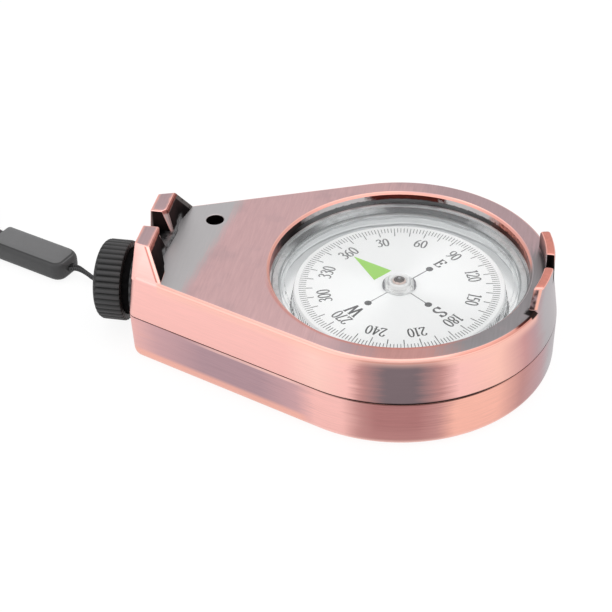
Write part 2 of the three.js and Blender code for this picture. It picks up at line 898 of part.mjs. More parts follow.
function lanyardSleeve() {
  const levels = Array.from({ length: noseSteps + 1 }, (_, k) => {
    const turn = (k / noseSteps) * (Math.PI / 2);
    const share = sleeveTipShare + (1 - sleeveTipShare) * Math.sin(turn);
    return {
      z: sleeveNose * (1 - Math.cos(turn)),
      points: roundedBox(sleeveWidth * share, sleeveHeight * share, sleeveCorner * share),
    };
  });
  const whole = roundedBox(sleeveWidth, sleeveHeight, sleeveCorner);
  const body = solid(stack([...levels, { z: sleeveLength, points: whole }]));
  const threadHeight = threadDiameter + 2 * fitGap;
  const throat = roundedBox(threadSpacing + threadHeight, threadHeight, threadHeight / 2 - fitGap / 2);
  const cordHeight = cordDiameter + 2 * fitGap;
  const chamber = roundedBox(cordSpacing + cordHeight, cordHeight, cordHeight / 2 - fitGap / 2);
  const throatWay = stack([{ z: -overrun, points: throat }, { z: sleeveThroat + overrun, points: throat }]);
  const chamberWay = stack([
    { z: sleeveThroat, points: chamber },
    { z: sleeveLength + overrun, points: chamber },
  ]);
  return onSleeve(meshed(cut(body, solid(throatWay), solid(chamberWay))));
}

function cordCrimp() {
  const height = cordDiameter - crimpInset;
  const points = roundedBox(cordSpacing + height, height, height / 2 - crimpInset);
  const low = sleeveThroat + fitGap;
  return onSleeve(stack([{ z: low, points }, { z: low + crimpLength, points }]));
}

// A cord's tube along a smooth curve
function tube(curve, diameter, steps) {
  const section = new THREE.Shape();
  for (let k = 0; k < threadSides; k += 1) {
    const angle = ((k + 0.5) / threadSides) * 2 * Math.PI;
    const put = k === 0 ? 'moveTo' : 'lineTo';
    section[put]((diameter / 2) * Math.cos(angle), (diameter / 2) * Math.sin(angle));
  }
  return new THREE.ExtrudeGeometry(section, { steps, extrudePath: curve, bevelEnabled: false });
}

function smooth(points) {
  return new THREE.CatmullRomCurve3(
    points.map(([x, y, z]) => new THREE.Vector3(x, y, z)),
    false,
    'centripetal',
  );
}

// The thread leaves the sleeve, passes behind the ring, goes once round the eyepiece's neck
// and comes back beside itself.
const threadRoute = [
  [-75.04, 13.96, 2.45],
  [-70.58, 12.26, 2.42],
  [-69.4, 12.4, 2.15],
  [-68.2, 11.95, 1.75],
  [-66.8, 11.3, 1.3],
  [-65.4, 10.7, 0.92],
  [-63.2, 11, 0.9],
  [-60.8, 12.4, 1.7],
  [-58.4, 13.2, 3.9],
  [-55.6, 12.4, 6.6],
  [-52.9, 9.9, 10.4],
  [-51.65, 5.4, 14.2],
  [-51.6, 0, 16.68],
  [-51.6, -5.04, 14.59],
  [-51.6, -7.13, 9.55],
  [-51.6, -5.04, 4.51],
  [-51.6, 0, 2.42],
  [-51.9, 4.6, 1.5],
  [-53.6, 8.6, 0.9],
  [-57, 10.5, 0.65],
  [-60.5, 10.6, 0.7],
  [-63.2, 9.9, 1],
  [-65.4, 9.85, 1.5],
  [-66.8, 10.5, 1.9],
  [-68.2, 11, 2.3],
  [-69.4, 11.2, 2.5],
  [-71.02, 11.14, 2.42],
  [-75.46, 12.84, 2.45],
];

// The wrist cord's two stretches between the sleeve and the coil
const cordRouteOut = [
  [-79.23, 16.53, 2.45],
  [-83.34, 18.1, 2.45],
  [-87.73, 19.77, 2.45],
  [-90.1, 20.8, 2.42],
  [-92.3, 22.5, 2.35],
  [-93.8, 25.1, 2.25],
  [-94.8, 28.2, 2.15],
  [-95.75, 31.1, 2.1],
  [-97.05, 32.9, 2.1],
  [-98.69, 34.65, 2.1],
];
const cordRouteBack = [
  [-80.3, 13.72, 2.45],
  [-84.41, 15.29, 2.45],
  [-88.8, 16.97, 2.45],
  [-91.2, 17.75, 2.5],
  [-93.7, 17.8, 2.8],
  [-96.3, 16.9, 3.4],
  [-99, 15.4, 4.15],
  [-101.7, 14.05, 4.85],
  [-104.5, 13.4, 5.1],
  [-106.89, 13.18, 5.1],
];

// The coil: straight for a diameter, in at a steady rate on the lower layer, up a layer in
// the half turn where it reverses, out again on the upper layer and straight for a diameter.
const coilCentre = fromSleeve(coilReach, 0, 0);
const coilLow = tieThickness + tieRoom + cordDiameter / 2;
const coilToSleeve = coilReach - sleeveLength;
const tangentTurn = Math.acos(coilRadius / coilToSleeve);
const coilStart = sleeveHeading + Math.PI + tangentTurn;
const coilTurns = coilFullTurns + 1 - tangentTurn / Math.PI;

function coilPoint(turns) {
  const radius = coilRadius - coilPitch * Math.min(turns, coilTurns - turns);
  const climb = THREE.MathUtils.clamp((turns - coilTurns / 2) * 2 + 0.5, 0, 1);
  const angle = coilStart + turns * 2 * Math.PI;
  return new THREE.Vector3(
    coilCentre.x + radius * Math.cos(angle),
    coilCentre.y + radius * Math.sin(angle),
    coilLow + coilRise * climb,
  );
}

function coilPath() {
  const steps = Math.round(coilTurns * coilLoopSteps);
  const points = Array.from({ length: steps + 1 }, (_, k) => coilPoint((coilTurns * k) / steps));
  const lead = (from, to) => from.clone().sub(to).normalize().multiplyScalar(cordDiameter);
  const first = points[0].clone().add(lead(points[0], points[1]));
  const last = points[steps].clone().add(lead(points[steps], points[steps - 1]));
  return [first, ...points, last];
}

// One unbroken tube: a ring of corners square to the path at each of its points
function woundTube(path, diameter, sides) {
  const up = new THREE.Vector3(0, 0, 1);
  const places = [];
  const faces = [];
  path.forEach((point, k) => {
    const before = path[Math.max(k - 1, 0)];
    const after = path[Math.min(k + 1, path.length - 1)];
    const along = after.clone().sub(before).normalize();
    const across = up.clone().cross(along).normalize();
    const over = along.clone().cross(across);
    for (let side = 0; side < sides; side += 1) {
      const angle = (side / sides) * 2 * Math.PI;
      const place = point.clone()
        .addScaledVector(across, (diameter / 2) * Math.cos(angle))
        .addScaledVector(over, (diameter / 2) * Math.sin(angle));
      places.push(place.x, place.y, place.z);
      if (k === 0) continue;
      const next = (side + 1) % sides;
      const here = k * sides;
      const back = here - sides;
      faces.push(back + side, back + next, here + next, back + side, here + next, here + side);
    }
  });
  const end = (path.length - 1) * sides;
  for (let side = 1; side + 1 < sides; side += 1) {
    faces.push(0, side + 1, side, end, end + side, end + side + 1);
  }
  const geometry = new THREE.BufferGeometry();
  geometry.setAttribute('position', new THREE.Float32BufferAttribute(places, 3));
  geometry.setIndex(faces);
  return geometry;
}

// Least gap between turns, on points half a step apart and more than half a turn from each other
function leastGap(diameter) {
  const steps = Math.round(coilTurns * coilLoopSteps * 2);
  const points = Array.from({ length: steps + 1 }, (_, k) => coilPoint((coilTurns * k) / steps));
  let least = Infinity;
  points.forEach((point, k) => {
    for (let other = k + coilLoopSteps; other <= steps; other += 1) {
      least = Math.min(least, point.distanceTo(points[other]));
    }
  });
  return least - diameter;
}

function cordTie() {
  const innermost = coilRadius - (coilPitch * coilTurns) / 2 - cordDiameter / 2;
  const outermost = coilRadius + cordDiameter / 2;
  const bulge = innermost - Math.sqrt(innermost ** 2 - (tieWidth / 2) ** 2);
  const near = innermost - bulge - tieRoom;
  const far = outermost + tieRoom;
  const low = coilLow - cordDiameter / 2 - tieRoom;
  const high = coilLow + coilRise + cordDiameter / 2 + tieRoom;
  const half = tieWidth / 2;
  const band = solid(block(
    near - tieThickness,
    far + tieThickness,
    -half,
    half,
    low - tieThickness,
    high + tieThickness,
  ));
  const inside = solid(block(near, far, -half - overrun, half + overrun, low, high));
  return meshed(cut(band, inside)).rotateZ(sleeveHeading).translate(coilCentre.x, coilCentre.y, 0);
}

// Assembly
const compass = new THREE.Group();
const dial = new THREE.Group();
dial.rotation.z = northAngle;
compass.add(dial);

function place(name, geometry, look, parent = compass) {
  const mesh = new THREE.Mesh(welded(geometry), look);
  mesh.name = name;
  parent.add(mesh);
}

place('upper_shell', meshed(upperShell()), copper);
place('lower_shell', meshed(lowerShell()), copper);
screwPlaces.forEach((where, k) => place(`case_screw_${k + 1}`, caseScrew(where), steel));
place('index_plate', indexPlate(), clearPlastic);

place('capsule_pad', capsulePad(), blackRubber);
place('capsule_cup', capsuleCup(), clearPlastic);
place('capsule_seal', capsuleSeal(), blackRubber);
place('capsule_window', capsuleWindow(), clearPlastic);
place('pivot_post', pivotPost(), brass);
place('pivot_pin', pivotPin(), steel);

place('compass_card', compassCard(), cardWhite, dial);
place('card_hub', cardHub(), clearPlastic, dial);
place('jewel_bearing', jewelBearing(), jewel, dial);
place('card_magnet_1', cardMagnet(1), magnetSteel, dial);
place('card_magnet_2', cardMagnet(-1), magnetSteel, dial);

place('eyepiece_barrel', eyepieceBarrel(), blackPlastic);
place('focus_ring', focusRing(), blackPlastic);
place('lens_cell', lensCell(), blackPlastic);
place('eyepiece_lens', eyepieceLens(), clearPlastic);
place('lens_retainer', lensRetainer(), blackPlastic);

place('lanyard_thread', tube(smooth(threadRoute), threadDiameter, threadSteps), blackCord);
place('lanyard_sleeve', lanyardSleeve(), blackPlastic);
place('cord_crimp', cordCrimp(), brass);
place('wrist_cord_run_1', tube(smooth(cordRouteOut), cordDiameter, runSteps), blackCord);
place('wrist_cord_run_2', tube(smooth(cordRouteBack), cordDiameter, runSteps), blackCord);
place('wrist_cord_coil', woundTube(coilPath(), cordDiameter, coilSides), blackCord);
place('cord_tie', cordTie(), blackRubber);

console.log(`wrist_cord_coil: least gap between turns ${leastGap(cordDiameter).toFixed(2)} mm`);

export default compass;
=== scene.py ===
import math

import bmesh
import bpy
from mathutils import Matrix, Vector


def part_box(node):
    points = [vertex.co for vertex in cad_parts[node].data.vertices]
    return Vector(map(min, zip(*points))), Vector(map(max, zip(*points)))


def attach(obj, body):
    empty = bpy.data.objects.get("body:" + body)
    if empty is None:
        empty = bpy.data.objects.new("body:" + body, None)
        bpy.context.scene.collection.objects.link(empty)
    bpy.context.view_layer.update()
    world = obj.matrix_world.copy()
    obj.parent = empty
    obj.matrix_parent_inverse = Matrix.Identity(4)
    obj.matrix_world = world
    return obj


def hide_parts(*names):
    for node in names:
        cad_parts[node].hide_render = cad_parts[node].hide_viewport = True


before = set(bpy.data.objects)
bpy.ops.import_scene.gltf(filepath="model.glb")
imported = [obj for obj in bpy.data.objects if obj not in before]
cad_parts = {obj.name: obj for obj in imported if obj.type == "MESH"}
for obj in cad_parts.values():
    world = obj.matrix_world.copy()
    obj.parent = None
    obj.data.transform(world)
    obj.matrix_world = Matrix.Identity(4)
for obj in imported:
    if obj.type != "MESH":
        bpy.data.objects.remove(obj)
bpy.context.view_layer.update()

mm = 0.001
fullTurn = 2 * math.pi
up = Vector((0, 0, 1))
white = (1, 1, 1, 1)


# Camera: the photograph's own view

camera = {
    "place": (34.84, -241.05, 195.84), "up": (-0.096, 0.5997, 0.7944),
    "forward": (-0.1712, 0.7763, -0.6067), "lens": 93.53, "sensor": 36, "clip": (0.01, 20),
}
bpy.ops.object.select_all(action="DESELECT")
bpy.ops.object.camera_add()
eye = bpy.context.object
eye.name = "photoCamera"
ahead = Vector(camera["forward"]).normalized()
aside = ahead.cross(Vector(camera["up"])).normalized()
heading = Matrix((aside, aside.cross(ahead), -ahead)).transposed().to_4x4()
eye.matrix_world = Matrix.Translation(Vector(camera["place"]) * mm) @ heading
eye.data.lens = camera["lens"]
eye.data.sensor_width = camera["sensor"]
eye.data.clip_start, eye.data.clip_end = camera["clip"]
bpy.context.scene.camera = eye
bpy.context.scene.view_settings.view_transform = "Standard"
print("compass: camera placed")


# Modelling helpers

def calm():  # nothing selected, object mode
    if bpy.context.mode != "OBJECT":
        bpy.ops.object.mode_set(mode="OBJECT")
    bpy.ops.object.select_all(action="DESELECT")


def only(piece):
    calm()
    piece.select_set(True)
    bpy.context.view_layer.objects.active = piece


def applied(piece):  # its object back at the origin, its place in its mesh
    only(piece)
    bpy.ops.object.transform_apply(location=True, rotation=True, scale=True)
    return piece


def added(name, operator, **sizes):
    calm()
    operator(**sizes)
    piece = bpy.context.object
    piece.name = name
    return applied(piece)


def edit(piece):
    only(piece)
    bpy.ops.object.mode_set(mode="EDIT")
    bpy.ops.mesh.select_mode(type="VERT")
    bpy.ops.mesh.select_all(action="DESELECT")


def pick(kind, test):  # selects the vertices, edges or faces whose middle, in mm, passes the test
    bpy.ops.mesh.select_mode(type=kind)
    bpy.ops.mesh.select_all(action="DESELECT")
    mesh = bpy.context.edit_object.data
    cage = bmesh.from_edit_mesh(mesh)
    cage.normal_update()
    for part in {"VERT": cage.verts, "EDGE": cage.edges, "FACE": cage.faces}[kind]:
        corners = [part] if kind == "VERT" else part.verts
        middle = sum((corner.co for corner in corners), Vector()) / (len(corners) * mm)
        part.select_set(bool(test(middle, part)))
    bmesh.update_edit_mesh(mesh)


def everything():
    bpy.ops.mesh.select_all(action="SELECT")


def shift(x, y, z):
    bpy.ops.transform.translate(value=Vector((x, y, z)) * mm)


def moved(piece, x, y):
    edit(piece)
    everything()
    shift(x, y, 0)
    calm()
    return piece


def clean(join=0.0005):
    bpy.ops.mesh.select_mode(type="VERT")
    everything()
    bpy.ops.mesh.remove_doubles(threshold=join * mm)
    bpy.ops.mesh.normals_make_consistent(inside=False)


def level(edge):  # an edge's rise, in mm
    return abs(edge.verts[0].co.z - edge.verts[1].co.z) / mm


def lengthwise(middle, edge):  # an edge that runs along x
    return abs(edge.verts[0].co.x - edge.verts[1].co.x) > 0.1 * mm


def sharp(edge, least=0.5):
    return len(edge.link_faces) == 2 and edge.calc_face_angle(0) > least


def rounded(piece, test, width, steps, **more):  # rounds the edges that pass the test
    edit(piece)
    pick("EDGE", test)
    bpy.ops.mesh.bevel(offset=width * mm, segments=steps, affect="EDGES", **more)
    calm()
    return piece


def carve(piece, tool, operation="DIFFERENCE"):
    only(piece)
    change = piece.modifiers.new("carve", "BOOLEAN")
    change.operation = operation
    change.solver = "EXACT"
    change.object = tool
    bpy.ops.object.modifier_apply(modifier=change.name)
    bpy.data.objects.remove(tool)


def finished(piece, body, slotName, look, *stoodFor, angle=30):
    only(piece)
    bpy.ops.object.shade_smooth_by_angle(angle=math.radians(angle))
    piece.data.materials.clear()
    piece.data.materials.append(look)
    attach(piece, body)
    if stoodFor:
        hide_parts(*stoodFor)


def joinedUp(name, parts):
    calm()
    for part in parts:
        part.select_set(True)
    bpy.context.view_layer.objects.active = parts[0]
    bpy.ops.object.join()
    parts[0].name = name
    return parts[0]


def post(name, radius, low, high, x, y, steps=48):
    return added(
        name, bpy.ops.mesh.primitive_cylinder_add, vertices=steps, radius=radius * mm,
        depth=(high - low) * mm, location=Vector((x, y, (low + high) / 2)) * mm,
    )


def block(name, x0, x1, y0, y1, z0, z1):
    return added(
        name, bpy.ops.mesh.primitive_cube_add, size=1,
        scale=Vector((x1 - x0, y1 - y0, z1 - z0)) * mm,
        location=Vector((x0 + x1, y0 + y1, z0 + z1)) / 2 * mm,
    )


eyeHeight = 9.55  # the eyepiece's axis above the floor


def spun(name, profile, steps=96, onEye=False):
    # A profile drawn point by point and spun: (radius, height), or (x, radius) on the eyepiece
    def place(a, b):
        return Vector((a, 0, b + eyeHeight) if onEye else (a, 0, b)) * mm

    piece = added(name, bpy.ops.mesh.primitive_plane_add, size=mm, location=place(*profile[0]))
    edit(piece)
    everything()
    bpy.ops.mesh.merge(type="CENTER")
    for before, after in zip(profile, profile[1:]):
        step = place(*after) - place(*before)
        bpy.ops.mesh.extrude_vertices_move(TRANSFORM_OT_translate={"value": step})
    everything()
    centre, axis = (up * eyeHeight * mm, (1, 0, 0)) if onEye else ((0, 0, 0), up)
    bpy.ops.mesh.spin(steps=steps, angle=fullTurn, center=centre, axis=axis)
    clean()
    calm()
    return piece


# Shader helpers

def tint(*values):  # a colour as a paint chart gives it, 0 to 255; one number is a grey
    def linear(value):
        value /= 255
        return value / 12.92 if value <= 0.04045 else ((value + 0.055) / 1.055) ** 2.4

    return (*map(linear, values if len(values) == 3 else values * 3), 1)


def reckoned(operation, turned=False):  # a step of maths; turned puts the wire last
    def step(wire, *others):
        values = (*others, wire) if turned else (wire, *others)
        return wire.finish.node("Math", {"operation": operation}, dict(enumerate(values)))

    return step


class Wire:  # a socket that can be reckoned with
    def __init__(self, finish, socket):
        self.finish = finish
        self.socket = socket

    __add__, __radd__ = reckoned("ADD"), reckoned("ADD", True)
    __sub__, __rsub__ = reckoned("SUBTRACT"), reckoned("SUBTRACT", True)
    __mul__, __rmul__ = reckoned("MULTIPLY"), reckoned("MULTIPLY", True)
    __truediv__, __pow__ = reckoned("DIVIDE"), reckoned("POWER")
    most, least = reckoned("MAXIMUM"), reckoned("MINIMUM")
    size, sine, arc = reckoned("ABSOLUTE"), reckoned("SINE"), reckoned("ARCTAN2")

    def rise(self, low, high):  # 0 at low to 1 at high, eased; low may be above high
        eased = self.finish.node(
            "MapRange", {"interpolation_type": "SMOOTHSTEP"},
            {"Value": self, "From Min": min(low, high), "From Max": max(low, high)},
        )
        return eased if low < high else 1 - eased

    def within(self, low, high, ease):
        return self.rise(low - ease, low + ease) * self.rise(high + ease, high - ease)


def reachOf(x, y):  # distance from an axis
    return (x * x + y * y) ** 0.5


def turnOf(x, y):  # angle round it, in degrees
    return y.arc(x) * (180 / math.pi)


def toned(colour):  # a copper tone may be given by its name
    return copperTones.get(colour, colour)


class Finish:  # the nodes of one material, or of the world
    def __init__(self, name, made=None):
        self.made = made or bpy.data.materials.new(name)
        self.made.use_nodes = True
        self.tree = self.made.node_tree
        self.tree.nodes.clear()

    def node(self, kind, settings=(), sockets=(), output=0):
        made = self.tree.nodes.new("ShaderNode" + kind)
        for name, value in dict(settings).items():
            setattr(made, name, value)
        for name, value in dict(sockets).items():
            if isinstance(value, Wire):
                self.tree.links.new(value.socket, made.inputs[name])
            else:
                made.inputs[name].default_value = value
        return Wire(self, made.outputs[output]) if made.outputs else None

    def blend(self, first, second, share):  # colours
        settings = {"data_type": "RGBA", "clamp_factor": True}
        return self.node("Mix", settings, {0: share, 6: toned(first), 7: toned(second)}, 2)

    def coats(self, paint, *layers, over=None):  # colours laid on in turn, each with its share
        for colour, share in layers:
            paint = self.blend(paint, colour, share if over is None else share * over)
        return paint

    def byAngle(self, angle, zones):  # a tone for each stretch of a turn in degrees
        share = self.node("MapRange", sockets={"Value": angle, "From Min": -180, "From Max": 180})
        ramp = self.node("ValToRGB", sockets={"Fac": share})
        band = ramp.socket.node.color_ramp.elements
        spots = [band[0]] + [band.new(place / 360 + 0.5) for place, _ in zones[1:-1]] + [band[-1]]
        for spot, (place, tone) in zip(spots, zones):
            spot.color = copperTones[tone]
        return ramp

    def lit(self, colour, amount):  # a colour made brighter or darker
        colour = toned(colour)
        if isinstance(colour, tuple):
            colour = colour[:3]
        return self.scaled(colour, amount)

    def scaled(self, vector, amount):
        return self.node("VectorMath", {"operation": "SCALE"}, {0: vector, "Scale": amount})

    def place(self):  # where on the object, in mm, as a vector and its three numbers
        where = self.scaled(self.node("TexCoord", output="Object"), 1 / mm)
        return where, self.parts(where)

    def facing(self):  # which way the surface looks
        return self.parts(self.node("TexCoord", output="Normal"))

    def parts(self, vector):
        split = self.node("SeparateXYZ", sockets={0: vector}).socket.node
        return [Wire(self, output) for output in split.outputs]

    def noise(self, vector, scale, detail=2, rough=0.5):
        sockets = {"Vector": vector, "Scale": scale, "Detail": detail, "Roughness": rough}
        return self.node("TexNoise", {"noise_dimensions": "3D"}, sockets)

    def streaks(self, vector, scale, detail, rough, size=1, turn=0):  # noise drawn out along an axis
        sockets = {"Vector": vector, "Scale": scale, "Rotation": (0, 0, turn)}
        return self.noise(self.node("Mapping", {"vector_type": "POINT"}, sockets), size, detail, rough)

    def shader(self, colour, rough=0.5, metallic=0.0, bump=None, depth=0.1, shine=0.5, glow=None):
        sockets = {
            "Base Color": colour, "Roughness": rough, "Metallic": metallic, "Specular IOR Level": shine,
        }
        if bump is not None:
            bumped = {"Height": bump, "Distance": depth * mm, "Strength": 1.0}
            sockets["Normal"] = self.node("Bump", sockets=bumped)
        if glow is not None:
            sockets["Emission Color"], sockets["Emission Strength"] = glow
        return self.node("BsdfPrincipled", sockets=sockets)

    def mixed(self, share, first, second):  # surfaces
        return self.node("MixShader", sockets={0: share, 1: first, 2: second})

    def clear(self, colour):
        return self.node("BsdfTransparent", sockets={"Color": colour})

    def glazed(self, surface, rough, least, more):  # a gloss over it, stronger at a slant
        slant = self.node("LayerWeight", sockets={"Blend": 0.5}, output="Facing")
        gloss = self.node("BsdfGlossy", sockets={"Color": white, "Roughness": rough})
        return self.done(self.mixed(least + slant ** 5 * more, surface, gloss))

    def done(self, surface):
        self.node("OutputMaterial", sockets={"Surface": surface})
        return self.made

    def painted(self, *values, **more):
        return self.done(self.shader(*values, **more))


# Finishes

copperTones = {
    "wall": tint(250, 194, 187), "pale": tint(254, 207, 196), "peach": tint(252, 199, 184),
    "rose": tint(244, 189, 182), "salmon": tint(245, 184, 167), "rust": tint(193, 141, 137),
    "umber": tint(174, 120, 118), "patch": tint(124, 108, 112), "mauve": tint(187, 152, 156),
    "plum": tint(204, 151, 150), "lilac": tint(204, 163, 166), "slate": tint(178, 147, 154),
    "grey": tint(180, 173, 176), "top": tint(197, 162, 163), "dull": tint(172, 147, 150),
    "blush": tint(182, 137, 132), "tail": tint(178, 175, 176), "steel": tint(138, 134, 136),
    "bright": tint(226, 174, 162), "bevel": tint(228, 166, 154), "inner": tint(198, 124, 110),
    "worn": tint(200, 130, 117), "rubbed": tint(236, 174, 162), "flare": tint(172, 152, 150),
    "glint": tint(214, 208, 208), "oxblood": tint(84, 36, 31), "dark": tint(52, 38, 38),
    "black": tint(24, 19, 19),
}
# Which tone each stretch of the outline has, by the angle round the dial in degrees; these are painted
# reflections mixed with the finish's patina, and on the bore's wall painted reflections only
upperPatinaAndReflections = [
    (-180, "wall"), (-125, "wall"), (-112, "pale"), (-99.5, "wall"), (-95, "rust"), (-86.5, "patch"),
    (-75.5, "patch"), (-67, "rust"), (-60.5, "wall"), (-44, "peach"), (-31, "plum"), (-24, "mauve"),
    (-16, "grey"), (4, "grey"), (20, "mauve"), (42, "wall"), (68, "peach"), (84, "mauve"),
    (96, "mauve"), (110, "wall"), (140, "pale"), (180, "wall"),
]
lowerPatinaAndReflections = [
    (-180, "rose"), (-168, "rose"), (-162, "lilac"), (-152, "slate"), (-134, "slate"), (-120, "lilac"),
    (-112, "rose"), (-101.5, "rose"), (-95, "rust"), (-89.5, "umber"), (-75, "umber"), (-68, "rust"),
    (-61.5, "salmon"), (-45, "salmon"), (-33, "rust"), (-20, "mauve"), (-12, "grey"), (6, "grey"),
    (24, "mauve"), (44, "salmon"), (72, "salmon"), (86, "rust"), (96, "rust"), (112, "rose"),
    (134, "mauve"), (160, "mauve"), (168, "rose"), (180, "rose"),
]
topPatinaAndReflections = [
    (-180, "top"), (-112, "top"), (-102, "dull"), (-88, "blush"), (-72, "blush"), (-56, "steel"),
    (12, "steel"), (24, "dull"), (78, "dull"), (104, "top"), (180, "top"),
]
boreReflections = [
    (-180, "umber"), (-120, "rust"), (-60, "steel"), (5, "steel"), (20, "inner"), (46, "inner"),
    (52, "glint"), (76, "glint"), (80, "oxblood"), (112, "oxblood"), (116, "glint"), (140, "glint"),
    (150, "dark"), (166, "dark"), (180, "umber"),
]
hole = {"radius": 1.75, "place": (-38.1, 9.2), "lip": 0.12, "wall": 1.5, "steps": 48}  # the lanyard hole


